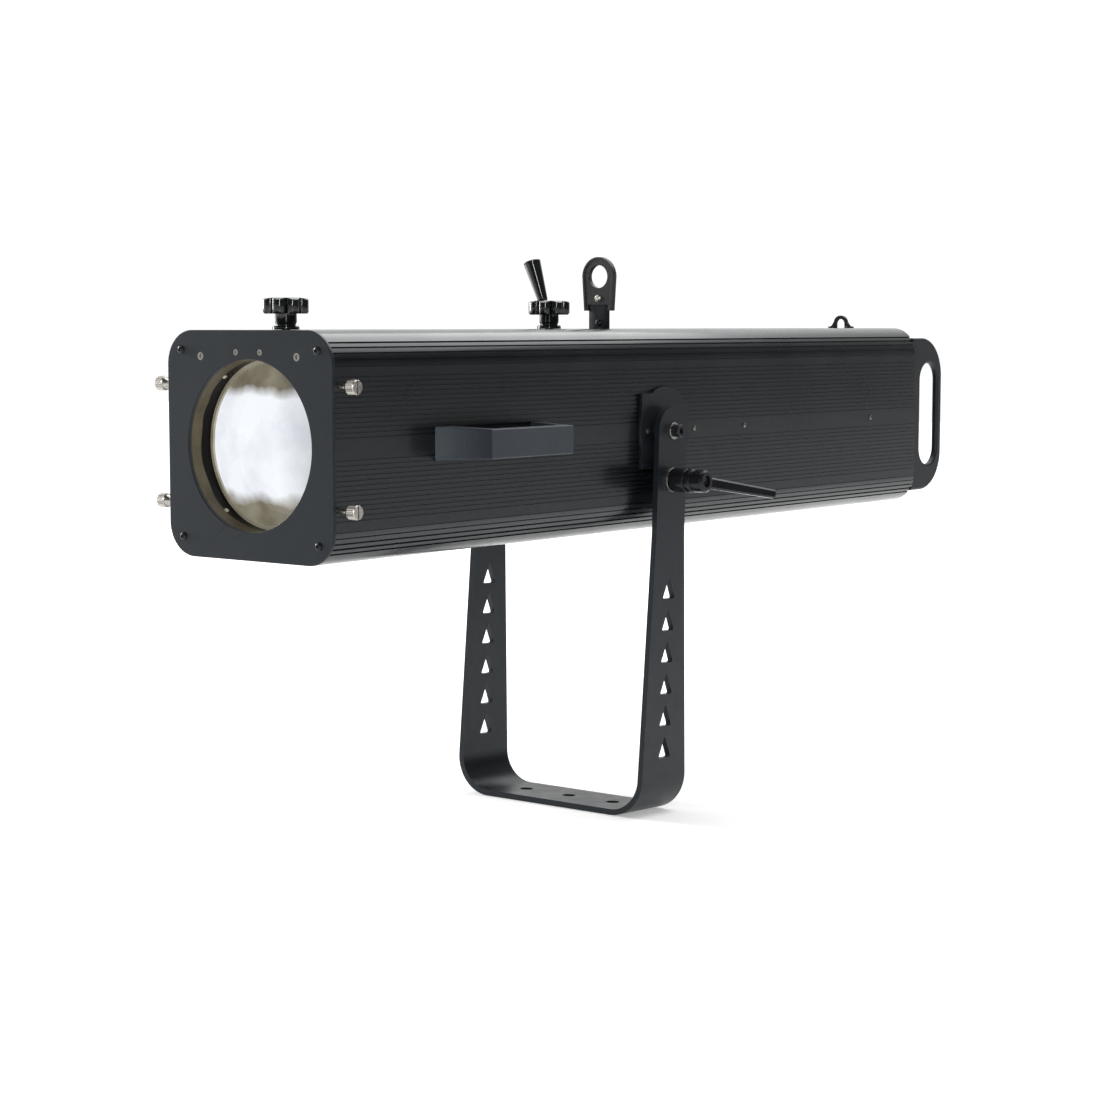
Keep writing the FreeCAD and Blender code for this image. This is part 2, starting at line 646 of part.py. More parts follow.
def make_pivot_bolt(side):
    tip = HALF - BOSS_DEPTH
    head = ARM_OUTER + RUNNING_CLEARANCE + PIVOT_WASHER_THICKNESS
    shank = rod(PIVOT_RADIUS, (tip, PIVOT_BACK, 0), X_AXIS, head - tip)
    profile = ((0, BOLT_HEAD_RADIUS), (BOLT_HEAD_LENGTH - BOLT_EDGE, BOLT_HEAD_RADIUS),
               (BOLT_HEAD_LENGTH, BOLT_HEAD_RADIUS - BOLT_EDGE))
    cap = revolved(profile, (head, PIVOT_BACK, 0), X_AXIS, Z_AXIS)
    socket = hexagon_prism(BOLT_HEX, (head + BOLT_HEAD_LENGTH / 2, PIVOT_BACK, 0), X_AXIS, Z_AXIS,
                           BOLT_HEAD_LENGTH)
    return mirrored(shank.fuse(cap).cut(socket), side)


def make_pivot_washer(side):
    washer = tube(PIVOT_WASHER_RADIUS, PIVOT_RADIUS, (ARM_OUTER + RUNNING_CLEARANCE, PIVOT_BACK, 0), X_AXIS,
                  PIVOT_WASHER_THICKNESS)
    return mirrored(washer, side)


def make_pivot_spacer(side):
    spacer = tube(SPACER_RADIUS, PIVOT_RADIUS, (BRACKET_FACE, PIVOT_BACK, 0), X_AXIS,
                  ARM_GAP - FACE_CLEARANCE)
    return mirrored(spacer, side)


# Housing ---------------------------------------------------------------------------------------

def groove_face(centre, outward, width, depth):
    """Rectangle that cuts one groove into the outline, at a point on its surface."""
    along = outward.cross(Y_AXIS)
    low = centre - outward * depth
    high = centre + outward
    points = [low - along * (width / 2), high - along * (width / 2), high + along * (width / 2),
              low + along * (width / 2)]
    return Part.Face(Part.makePolygon(points + points[:1]))


def all_grooves():
    faces = []
    for side in SIDES:
        for up in SIDES:
            for index in range(FINE_GROOVES):
                height = FINE_GROOVE_START + index * FINE_GROOVE_PITCH
                place = V(side * HALF, PLATE_BACK, up * height)
                faces.append(groove_face(place, V(side, 0, 0), FINE_GROOVE_WIDTH, FINE_GROOVE_DEPTH))
            for index in range(CORNER_GROOVES):
                turn = math.radians(0.5 + index * CORNER_GROOVE_STEP)
                outward = V(side * math.cos(turn), 0, up * math.sin(turn))
                centre = V(side * (HALF - CORNER_RADIUS), PLATE_BACK, up * (HALF - CORNER_RADIUS))
                place = centre + outward * CORNER_RADIUS
                faces.append(groove_face(place, outward, CORNER_GROOVE_WIDTH, CORNER_GROOVE_DEPTH))
    return faces


def housing_section():
    """Cross-section of the extrusion, with its screw ports in the corners."""
    outer = rounded_rectangle(HALF, HALF, CORNER_RADIUS, PLATE_BACK)
    inner = rounded_rectangle(INNER_HALF, INNER_HALF, CORNER_RADIUS - WALL, PLATE_BACK)
    ring = outer.cut(inner)
    ports = []
    for side in SIDES:
        for up in SIDES:
            centre = V(side * CORNER_SCREW_PLACE, PLATE_BACK, up * CORNER_SCREW_PLACE)
            out = V(side, 0, up).normalize()
            across = out.cross(Y_AXIS) * 1.5
            disc = Part.Face(Part.Wire(Part.makeCircle(SCREW_PORT_RADIUS, centre, Y_AXIS)))
            root_reach = (HALF - CORNER_RADIUS) * math.sqrt(2) + CORNER_RADIUS - WALL / 2
            root = out * root_reach + V(0, PLATE_BACK, 0)
            corners = [centre - across, root - across, root + across, centre + across]
            web = Part.Face(Part.makePolygon(corners + corners[:1]))
            ports.extend([disc, web])
    section = fuse([ring] + ports)
    holes = []
    for side in SIDES:
        for up in SIDES:
            centre = V(side * CORNER_SCREW_PLACE, PLATE_BACK, up * CORNER_SCREW_PLACE)
            holes.append(Part.Face(Part.Wire(Part.makeCircle(M4_RADIUS, centre, Y_AXIS))))
    return section.cut(Part.makeCompound(holes + all_grooves()))


def slot_box(half_width, start, end):
    return box((-half_width, start, 0), (half_width, end, HOUSING_SIZE))


def housing_cuts():
    """Side holes shared by both extrusion halves."""
    cuts = []
    for side in SIDES:
        out = V(side, 0, 0)
        inside = side * (HALF - 4 * WALL)
        cuts.append(rod(BOSS_RADIUS, (inside, PIVOT_BACK, 0), out, WALL_DRILL))
        for offset in (-BRACKET_SCREW_OFFSET, BRACKET_SCREW_OFFSET):
            cuts.append(rod(M4_RADIUS, (inside, PIVOT_BACK + offset, 0), out, WALL_DRILL))
        for place in SIDE_SCREW_PLACES:
            cuts.append(rod(M4_RADIUS, (inside, place, 0), out, WALL_DRILL))
        for up in SIDES:
            cuts.append(rod(THUMB_STEM_RADIUS + RUNNING_CLEARANCE, (inside, THUMB_BACK, up * THUMB_OFFSET),
                            out, WALL_DRILL))
        for place in handle_screw_places():
            cuts.append(rod(M4_RADIUS, (inside, place, 0), out, WALL_DRILL))
    return cuts


def top_slots():
    room = SLOT_END_ROOM
    iris_reach = (HALF + room) * math.tan(math.radians(IRIS_LEAN)) + room
    slots = [slot_box(SLOT_HALF_WIDTH, FOCUS_PLACE - room, FOCUS_PLACE + FOCUS_TRAVEL + room),
             slot_box(SLOT_HALF_WIDTH, ZOOM_PLACE - ZOOM_TRAVEL - room, ZOOM_PLACE + room),
             slot_box(iris_reach, IRIS_PLACE - IRIS_ROD_RADIUS - 1, IRIS_PLACE + IRIS_ROD_RADIUS + 1),
             slot_box(SLIDE_HALF_WIDTH + 3, GATE_PLACE - 4, GATE_PLACE + 4)]
    for offset in (EYE_FOOT_INSET - EYE_WIDTH / 2, EYE_WIDTH / 2 - EYE_FOOT_INSET):
        slots.append(rod(M4_RADIUS, (EYE_OFFSET + offset, EYE_BACK, 0), Z_AXIS, HOUSING_SIZE))
    return slots


def make_housing(upper):
    length = HOUSING_END - PLATE_BACK
    bar = fuse(housing_section().extrude(V(0, length, 0)).Solids)
    low = BAND_HALF_HEIGHT if upper else -HOUSING_SIZE
    high = HOUSING_SIZE if upper else BAND_HALF_HEIGHT
    half = bar.common(box((-HOUSING_SIZE, 0, low), (HOUSING_SIZE, 2 * HOUSING_END, high)))
    cuts = housing_cuts()
    if upper:
        flanges = []
        for side in SIDES:
            flange = box((INNER_HALF - 2, PLATE_BACK + BULKHEAD_THICKNESS, 1 - BAND_HALF_HEIGHT),
                         (INNER_HALF, EAR_TONGUE_START - 2, 2.5 * BAND_HALF_HEIGHT))
            flanges.append(mirrored(flange, side))
        half = half.multiFuse(flanges)
        cuts += top_slots()
    return half.cut(Part.makeCompound(cuts))


def make_front_plate():
    plate = rounded_prism(HALF, HALF, CORNER_RADIUS, 0, PLATE_THICKNESS)
    cuts = [rod(APERTURE_RADIUS, (0, -1, 0), Y_AXIS, PLATE_THICKNESS + 2)]
    for side in SIDES:
        for up in SIDES:
            cuts.append(rod(M4_RADIUS, (side * CORNER_SCREW_PLACE, 0, up * CORNER_SCREW_PLACE), Y_AXIS,
                            PLATE_THICKNESS))
    for x, z, radius in bulkhead_screw_places():
        cuts.append(countersink(x, z, radius))
    plate = plate.cut(Part.makeCompound(cuts))
    rim = [edge for edge in plate.Edges if abs(edge.BoundBox.YMax) < TINY and edge.Length > RIM_EDGE_LENGTH]
    return plate.makeFillet(PLATE_THICKNESS / 4, rim)


def bulkhead_screw_places():
    places = []
    for side in SIDES:
        places.append((side * OUTER_SCREW_OFFSET, HALF - OUTER_SCREW_DROP, OUTER_SCREW_HEAD_RADIUS))
        places.append((side * INNER_SCREW_OFFSET, HALF - INNER_SCREW_DROP, INNER_SCREW_HEAD_RADIUS))
    return places


def countersink(x, z, radius):
    shank = radius / 2
    depth = min(radius - shank, PLATE_THICKNESS - 0.5)
    cone = Part.makeCone(radius, shank, depth, V(x, 0, z), Y_AXIS)
    return cone.fuse(rod(shank, (x, 0, z), Y_AXIS, PLATE_THICKNESS + BULKHEAD_THICKNESS))


def make_bulkhead_screw(x, z, radius):
    cut = cross_cut((x, 0, z), Y_AXIS, X_AXIS, 1.2 * radius, 0.3 * radius)
    return countersink(x, z, radius).cut(cut)


def make_corner_screw(side, up):
    x = side * CORNER_SCREW_PLACE
    z = up * CORNER_SCREW_PLACE
    profile = [(-rise * CORNER_SCREW_HEAD_HEIGHT, width * CORNER_SCREW_HEAD_RADIUS)
               for rise, width in CORNER_SCREW_DOME]
    head = revolved(profile, (x, 0, z), Y_AXIS, X_AXIS)
    screw = head.fuse(rod(M4_RADIUS, (x, 0, z), Y_AXIS, 4 * PLATE_THICKNESS))
    socket = hexagon_prism(CORNER_SOCKET, (x, -CORNER_SCREW_HEAD_HEIGHT - 1, z), Y_AXIS, X_AXIS,
                           CORNER_SOCKET_DEPTH)
    return screw.cut(socket)


def make_front_bulkhead():
    half = INNER_HALF - FACE_CLEARANCE - 2
    plate = rounded_prism(half, half, BULKHEAD_CORNER, PLATE_BACK, BULKHEAD_THICKNESS)
    cuts = [rod(CELL_OUTER_RADIUS + 1, (0, 0, 0), Y_AXIS, 4 * BULKHEAD_THICKNESS)]
    for side in SIDES:
        cuts.append(rod(ROD_RADIUS, (side * ROD_PLACE, 0, 0), Y_AXIS, 4 * BULKHEAD_THICKNESS))
        for up in SIDES:
            relief = (side * (CORNER_SCREW_PLACE + PORT_RELIEF_SHIFT), 0,
                      up * (CORNER_SCREW_PLACE + PORT_RELIEF_SHIFT))
            cuts.append(rod(SCREW_PORT_RADIUS + PORT_RELIEF, relief, Y_AXIS, DRILL_LENGTH))
            start = side * (HALF - 6 * WALL)
            cuts.append(rod(THUMB_STEM_RADIUS + 1, (start, THUMB_BACK, up * THUMB_OFFSET), V(side, 0, 0),
                            DRILL_LENGTH))
    for x, z, radius in bulkhead_screw_places():
        cuts.append(rod(radius / 2, (x, 0, z), Y_AXIS, 4 * BULKHEAD_THICKNESS))
    return plate.cut(Part.makeCompound(cuts))


def make_side_screw(place, side, face, radius):
    """Small pan-head screw in a side face."""
    length = 2 * WALL + 4
    profile = ((0, radius), (BAND_SCREW_EDGE, radius), (1.5, 0.6 * radius))
    head = revolved(profile, (face, place, 0), X_AXIS, Z_AXIS)
    screw = head.fuse(rod(M4_RADIUS, (face - length, place, 0), X_AXIS, length))
    slot = cross_cut((face + 0.7, place, 0), X_AXIS, Y_AXIS, 1.2 * radius, 2.0)
    return mirrored(screw.cut(slot), side)


def make_thumbscrew(side, up):
    z = up * THUMB_OFFSET
    start = HALF + THUMB_STEM_REACH
    stem = rod(THUMB_STEM_RADIUS, (HALF - 2 * WALL, THUMB_BACK, z), X_AXIS, THUMB_STEM_REACH + 2 * WALL)
    flare = ((-THUMB_COLLAR_LENGTH, THUMB_STEM_RADIUS), (0, THUMB_COLLAR_RADIUS), (1, THUMB_COLLAR_RADIUS))
    collar = revolved(flare, (start, THUMB_BACK, z), X_AXIS, Z_AXIS)
    points = []
    for index in range(2 * THUMB_KNURLS):
        radius = THUMB_HEAD_RADIUS - (0.5 if index % 2 else 0.0)
        turn = math.pi * index / THUMB_KNURLS
        points.append(V(start, THUMB_BACK + radius * math.cos(turn), z + radius * math.sin(turn)))
    head = polygon_prism(points, V(THUMB_HEAD_LENGTH, 0, 0))
    small = THUMB_HEAD_RADIUS - THUMB_EDGE
    bevel = ((0, small), (THUMB_EDGE, THUMB_HEAD_RADIUS), (THUMB_HEAD_LENGTH - THUMB_EDGE, THUMB_HEAD_RADIUS),
             (THUMB_HEAD_LENGTH, small))
    head = head.common(revolved(bevel, (start, THUMB_BACK, z), X_AXIS, Z_AXIS))
    end = start + THUMB_HEAD_LENGTH
    slot = box((end - THUMB_SLOT_WIDTH, THUMB_BACK - THUMB_SLOT_WIDTH / 2, z - THUMB_HEAD_RADIUS),
               (end + 1, THUMB_BACK + THUMB_SLOT_WIDTH / 2, z + THUMB_HEAD_RADIUS))
    return mirrored(fuse([stem, collar, head]).cut(slot), side)


# Optics ----------------------------------------------------------------------------------------

def make_guide_rods():
    length = iris_front() + IRIS_PLATE_THICKNESS - PLATE_BACK
    return [rod(ROD_RADIUS, (side * ROD_PLACE, PLATE_BACK, 0), Y_AXIS, length) for side in SIDES]


def carriage_plate(centre, hole_radius, ring_radius):
    """Ring with two ears that slide on the guide rods and a pad on top for the knob."""
    start = centre - CARRIAGE_THICKNESS / 2
    ring = rod(ring_radius, (0, start, 0), Y_AXIS, CARRIAGE_THICKNESS)
    ear_reach = ROD_PLACE + ROD_RADIUS + 4
    ears = box((-ear_reach, start, -CARRIAGE_EAR_HALF),
               (ear_reach, start + CARRIAGE_THICKNESS, CARRIAGE_EAR_HALF))
    pad = box((-CARRIAGE_PAD_HALF, start, 0),
              (CARRIAGE_PAD_HALF, start + CARRIAGE_THICKNESS, INNER_HALF - 1))
    cuts = [rod(hole_radius, (0, start - 1, 0), Y_AXIS, CARRIAGE_THICKNESS + 2),
            rod(KNOB_STUD_RADIUS, (0, centre, 0), Z_AXIS, HALF)]
    for side in SIDES:
        cuts.append(rod(ROD_RADIUS + RUNNING_CLEARANCE, (side * ROD_PLACE, start - 1, 0), Y_AXIS,
                        CARRIAGE_THICKNESS + 2))
    return fuse([ring, ears, pad]).cut(Part.makeCompound(cuts))


def make_focus_carriage():
    return carriage_plate(FOCUS_PLACE, CELL_OUTER_RADIUS, CELL_OUTER_RADIUS + 3)


def make_focus_cell():
    return tube(CELL_OUTER_RADIUS, CELL_OUTER_RADIUS - CELL_WALL, (0, CELL_FRONT, 0), Y_AXIS, CELL_LENGTH)


def make_lens_ring():
    outer = CELL_OUTER_RADIUS - CELL_WALL
    return tube(outer, outer - LENS_RING_RADIAL, (0, FOCUS_LENS_FRONT - LENS_RING_LENGTH, 0), Y_AXIS,
                LENS_RING_LENGTH)


def make_focus_lens():
    bore = CELL_OUTER_RADIUS - CELL_WALL
    blank = lens(bore - LENS_RING_RADIAL, FOCUS_LENS_FRONT, FOCUS_LENS_EDGE, FOCUS_LENS_CROWN)
    return blank.fuse(rod(bore, (0, FOCUS_LENS_FRONT, 0), Y_AXIS, FOCUS_LENS_EDGE)).removeSplitter()


def make_zoom_lens():
    front = ZOOM_PLACE - ZOOM_LENS_EDGE / 2
    return lens(ZOOM_LENS_RADIUS, front, ZOOM_LENS_EDGE, ZOOM_LENS_CROWN)


def make_star_knob(place):
    flange_low = HALF + FACE_CLEARANCE
    neck_low = flange_low + KNOB_FLANGE_HEIGHT
    head_low = HALF + KNOB_NECK_HEIGHT + 4
    profile = ((0, KNOB_FLANGE_RADIUS), (KNOB_FLANGE_HEIGHT - 1, KNOB_FLANGE_RADIUS),
               (KNOB_FLANGE_HEIGHT, KNOB_FLANGE_RADIUS - 1))
    flange = revolved(profile, (0, place, flange_low), Z_AXIS, X_AXIS)
    waist = ((0, KNOB_NECK_RADIUS - 1), (1, KNOB_NECK_RADIUS - 1), (3.5, KNOB_NECK_RADIUS),
             (head_low - neck_low, KNOB_NECK_RADIUS))
    neck = revolved(waist, (0, place, neck_low), Z_AXIS, X_AXIS)
    centre_radius = KNOB_RADIUS - KNOB_LOBE_RADIUS
    lobes = [rod(centre_radius, (0, place, head_low), Z_AXIS, KNOB_HEAD_HEIGHT)]
    for index in range(KNOB_LOBES):
        turn = 2 * math.pi * (index + 0.5) / KNOB_LOBES
        centre = (centre_radius * math.cos(turn), place + centre_radius * math.sin(turn), head_low)
        lobes.append(rod(KNOB_LOBE_RADIUS, centre, Z_AXIS, KNOB_HEAD_HEIGHT))
    head = fuse(lobes)
    edge = KNOB_EDGE
    cap = ((0, KNOB_RADIUS - edge), (edge, KNOB_RADIUS), (KNOB_HEAD_HEIGHT - edge, KNOB_RADIUS),
           (KNOB_HEAD_HEIGHT - 0.3 * edge, KNOB_RADIUS - edge), (KNOB_HEAD_HEIGHT, KNOB_RADIUS - 3 * edge))
    head = head.common(revolved(cap, (0, place, head_low), Z_AXIS, X_AXIS))
    stud = rod(KNOB_STUD_RADIUS - RUNNING_CLEARANCE, (0, place, INNER_HALF - KNOB_STUD_ROOT), Z_AXIS,
               flange_low + KNOB_STUD_ROOT - INNER_HALF)
    return fuse([stud, flange, neck, head])


# Iris ------------------------------------------------------------------------------------------

def iris_front():
    """Front face of the iris plate, which also carries the guide rods' rear ends."""
    return iris_ring_front() - 1.0 - IRIS_LEAVES * LEAF_STEP - IRIS_PLATE_THICKNESS


def iris_ring_front():
    return IRIS_PLACE - IRIS_RING_THICKNESS / 2


def make_iris_housing():
    front = iris_front()
    half = INNER_HALF - FACE_CLEARANCE - 2
    plate = rounded_prism(half, half, BULKHEAD_CORNER, front, IRIS_PLATE_THICKNESS)
    wall_length = IRIS_PLACE + IRIS_RING_THICKNESS / 2 + 1 - front
    wall = tube(IRIS_OUTER_RADIUS, IRIS_RING_RADIUS + FACE_CLEARANCE, (0, front, 0), Y_AXIS, wall_length)
    cuts = [rod(IRIS_OPENING, (0, front - 1, 0), Y_AXIS, 2 * IRIS_PLATE_THICKNESS)]
    for side in SIDES:
        cuts.append(rod(ROD_RADIUS, (side * ROD_PLACE, front - 1, 0), Y_AXIS, 2 * IRIS_PLATE_THICKNESS))
        inner_end = side * (HALF - BOSS_DEPTH - 2)
        cuts.append(rod(BOSS_RADIUS + 2, (inner_end, PIVOT_BACK, 0), V(side, 0, 0), DRILL_LENGTH))
        for up in SIDES:
            relief = (side * (CORNER_SCREW_PLACE + PORT_RELIEF_SHIFT), front - 1,
                      up * (CORNER_SCREW_PLACE + PORT_RELIEF_SHIFT))
            cuts.append(rod(SCREW_PORT_RADIUS + PORT_RELIEF, relief, Y_AXIS, DRILL_LENGTH))
    for index in range(IRIS_LEAVES):
        pin = leaf_pin(index)
        cuts.append(rod(LEAF_PIN_RADIUS + RUNNING_CLEARANCE, (pin.x, front - 1, pin.z), Y_AXIS,
                        2 * IRIS_PLATE_THICKNESS))
    reach = (IRIS_OUTER_RADIUS + 5) * math.tan(math.radians(IRIS_LEAN)) + 2 * IRIS_ROD_RADIUS
    cuts.append(box((-reach, iris_ring_front() - 0.5, 40), (reach, IRIS_PLACE + 30, HALF)))
    return fuse([plate, wall]).cut(Part.makeCompound(cuts))


def make_iris_ring():
    front = iris_ring_front()
    ring = tube(IRIS_RING_RADIUS, IRIS_RING_RADIUS - IRIS_RING_WALL, (0, front, 0), Y_AXIS,
                IRIS_RING_THICKNESS)
    lean = math.radians(IRIS_LEAN)
    out = V(-math.sin(lean), 0, math.cos(lean))
    root = IRIS_RING_RADIUS - IRIS_RING_WALL / 4
    length = IRIS_HANDLE_START + IRIS_HANDLE_BORE - root
    return ring.fuse(Part.makeCylinder(IRIS_ROD_RADIUS, length, out * root + V(0, IRIS_PLACE, 0), out))


def make_iris_handle():
    lean = math.radians(IRIS_LEAN)
    out = V(-math.sin(lean), 0, math.cos(lean))
    length = IRIS_HANDLE_LENGTH
    profile = ((0, IRIS_HANDLE_SMALL - IRIS_HANDLE_EDGE), (2, IRIS_HANDLE_SMALL), (length - 1,
                                                                                   IRIS_HANDLE_LARGE),
               (length, IRIS_HANDLE_LARGE - IRIS_HANDLE_EDGE))
    start = out * IRIS_HANDLE_START + V(0, IRIS_PLACE, 0)
    handle = revolved(profile, tuple(start), out, Y_AXIS)
    return handle.cut(Part.makeCylinder(IRIS_ROD_RADIUS, IRIS_HANDLE_BORE, start, out))


def leaf_pin(index):
    turn = 2 * math.pi * index / IRIS_LEAVES
    return V(LEAF_PIN_CIRCLE * math.cos(turn), 0, LEAF_PIN_CIRCLE * math.sin(turn))


def make_iris_leaf(index):
    """Flat crescent that swings on its pin in the iris plate."""
    low = iris_front() + IRIS_PLATE_THICKNESS + FACE_CLEARANCE + index * LEAF_STEP
    start = 360.0 * index / IRIS_LEAVES
    inner = LEAF_MID_RADIUS - LEAF_HALF_WIDTH
    outer = LEAF_MID_RADIUS + LEAF_HALF_WIDTH
    band = tube(outer, inner, (0, low, 0), Y_AXIS, LEAF_THICKNESS)
    far = 4 * outer
    points = [V(0, low - 1, 0)]
    for share in (0.0, 0.5, 1.0):
        turn = math.radians(start + share * LEAF_ARC)
        points.append(V(far * math.cos(turn), low - 1, far * math.sin(turn)))
    wedge = polygon_prism(points, V(0, 3, 0))
    pin = leaf_pin(index)
    ear = rod(LEAF_EAR_RADIUS, (pin.x, low, pin.z), Y_AXIS, LEAF_THICKNESS)
    pivot = rod(LEAF_PIN_RADIUS, (pin.x, iris_front() + 1, pin.z), Y_AXIS, low - iris_front() - 1)
    return fuse([band.common(wedge), ear, pivot])


# Gate ------------------------------------------------------------------------------------------

def make_gate_frame():
    half = GATE_HALF_WIDTH
    frame = box((-half, GATE_PLACE - GATE_DEPTH / 2, -half), (half, GATE_PLACE + GATE_DEPTH / 2, half))
    room = SLIDE_THICKNESS / 2 + SLIDE_CLEARANCE
    pocket = box((-SLIDE_HALF_WIDTH - SLIDE_CLEARANCE, GATE_PLACE - room, -SLIDE_HALF_WIDTH - 4),
                 (SLIDE_HALF_WIDTH + SLIDE_CLEARANCE, GATE_PLACE + room, HALF))
    opening = rod(GATE_OPENING, (0, GATE_PLACE - GATE_DEPTH, 0), Y_AXIS, 2 * GATE_DEPTH)
    feet = []
    for side in SIDES:
        low = GATE_PLACE - GATE_DEPTH / 2
        foot = box((half, low, -GATE_FOOT_HALF),
                   (INNER_HALF - 2, low + GATE_FOOT_THICKNESS, GATE_FOOT_HALF))
        feet.append(mirrored(foot, side))
    return fuse([frame] + feet).cut(pocket).cut(opening)


def make_gate_slide():
    half = SLIDE_HALF_WIDTH
    low = GATE_PLACE - SLIDE_THICKNESS / 2
    high = GATE_PLACE + SLIDE_THICKNESS / 2
    plate = box((-half, low, -half - 3), (half, high, half))
    strap = box((-PULL_HALF_WIDTH, low, half - 1), (PULL_HALF_WIDTH, high, PULL_TOP))
    cuts = [rod(SLIDE_OPENING, (0, low - 1, 0), Y_AXIS, 4)]
    for rise in PADDLE_SCREW_RISES:
        cuts.append(rod(M4_RADIUS, (0, low - 1, HALF + rise), Y_AXIS, 4))
    return plate.fuse(strap).cut(Part.makeCompound(cuts)).removeSplitter()


def paddle_outline(grow):
    """Face in an XZ plane: a round top on sides that draw in towards the foot."""
    centre = PADDLE_CENTRE
    radius = PADDLE_RADIUS + grow
    foot = PADDLE_FOOT + grow
    bottom = PADDLE_BOTTOM - grow
    sides = Part.makePolygon([V(-radius, 0, centre), V(-foot, 0, bottom), V(foot, 0, bottom),
                              V(radius, 0, centre)])
    crown = Part.Arc(V(radius, 0, centre), V(0, 0, centre + radius), V(-radius, 0, centre))
    return Part.Face(Part.Wire(sides.Edges + [crown.toShape()]))


def make_ring_paddle():
    """Moulded ring pull that wraps the top of the strap and leaves its lower front open."""
    front = GATE_PLACE - PADDLE_THICKNESS / 2
    body = paddle_outline(0.0).extrude(V(0, PADDLE_THICKNESS, 0))
    body.translate(V(0, front, 0))
    dish = paddle_outline(-2.0 * PADDLE_RIM).extrude(V(0, PADDLE_RIM / 2, 0))
    dish.translate(V(0, front, 0))
    half_strap = SLIDE_THICKNESS / 2
    cuts = [dish,
            rod(PADDLE_HOLE_RADIUS, (0, front - 1, PADDLE_CENTRE), Y_AXIS, 2 * PADDLE_THICKNESS),
            rod(M4_RADIUS, (0, front - 1, HALF + PADDLE_SCREW_RISES[1]), Y_AXIS, 2 * PADDLE_THICKNESS),
            box((-PULL_HALF_WIDTH, GATE_PLACE - half_strap, PADDLE_BOTTOM - 1),
                (PULL_HALF_WIDTH, GATE_PLACE + half_strap, PULL_TOP)),
            box((-PULL_HALF_WIDTH - PADDLE_STRAP_CLEARANCE, front - 1, PADDLE_BOTTOM - 1),
                (PULL_HALF_WIDTH + PADDLE_STRAP_CLEARANCE, GATE_PLACE - half_strap,
                 PADDLE_BOTTOM + PADDLE_MOUTH))]
    return body.cut(Part.makeCompound(cuts))


def make_paddle_screws():
    low = GATE_PLACE - SLIDE_THICKNESS / 2
    high = GATE_PLACE + SLIDE_THICKNESS / 2
    screws = []
    paddle_face = GATE_PLACE - PADDLE_THICKNESS / 2 + PADDLE_RIM / 2
    profile = ((-PADDLE_SCREW_HEAD, 0.6 * PADDLE_SCREW_RADIUS), (1 - PADDLE_SCREW_HEAD,
                                                                 PADDLE_SCREW_RADIUS), (0,
                                                                                        PADDLE_SCREW_RADIUS))
    for rise, face in zip(PADDLE_SCREW_RISES, (low, paddle_face)):
        height = HALF + rise
        head = revolved(profile, (0, face, height), Y_AXIS, X_AXIS)
        shank = rod(M4_RADIUS, (0, face, height), Y_AXIS, high - face)
        cut = cross_cut((0, face - PADDLE_SCREW_HEAD, height), Y_AXIS, X_AXIS, PADDLE_SCREW_RADIUS, 1.0)
        screws.append(head.fuse(shank).cut(cut))
    return screws


# Lamp ------------------------------------------------------------------------------------------

def tray_top():
    return -INNER_HALF + TRAY_THICKNESS


def make_lamp_tray():
    rear = HOUSING_END - TRAY_INSET
    base = box((-TRAY_HALF_WIDTH, TRAY_START, -INNER_HALF), (TRAY_HALF_WIDTH, rear, tray_top()))
    reach = CONDENSER_RADIUS + CONDENSER_HOLDER_WALL
    holder = rounded_prism(reach, reach, CONDENSER_HOLDER_CORNER, CONDENSER_PLACE, CONDENSER_EDGE)
    leg = box((-FOOT_HALF_WIDTH, CONDENSER_PLACE, tray_top() - 1),
              (FOOT_HALF_WIDTH, CONDENSER_PLACE + CONDENSER_EDGE, -CONDENSER_RADIUS - 5))
    hole = rod(CONDENSER_RADIUS, (0, CONDENSER_PLACE - 1, 0), Y_AXIS, CONDENSER_EDGE + 2)
    return fuse([base, holder, leg]).cut(hole)


def make_led_module():
    board = rod(LED_BOARD_RADIUS, (0, LED_PLACE, 0), Y_AXIS, LED_BOARD_THICKNESS)
    die = rod(LED_DIE_RADIUS, (0, LED_PLACE - LED_DIE_RISE, 0), Y_AXIS, 2)
    return fuse([board, die])


def make_heat_sink():
    start = LED_PLACE + LED_BOARD_THICKNESS
    half = SINK_HALF_WIDTH
    base = box((-half, start, -half), (half, start + SINK_BASE, half))
    fins = []
    pitch = (2 * half - SINK_FIN_THICKNESS) / (SINK_FINS - 1)
    for index in range(SINK_FINS):
        x = -half + index * pitch
        fins.append(box((x, start + SINK_BASE - 1, -half),
                        (x + SINK_FIN_THICKNESS, start + SINK_LENGTH, half)))
    foot = box((-FOOT_HALF_WIDTH, start, tray_top()), (FOOT_HALF_WIDTH, start + SINK_BASE, 1 - half))
    return fuse([base, foot] + fins)


def fan_start():
    return LED_PLACE + LED_BOARD_THICKNESS + SINK_LENGTH + 2


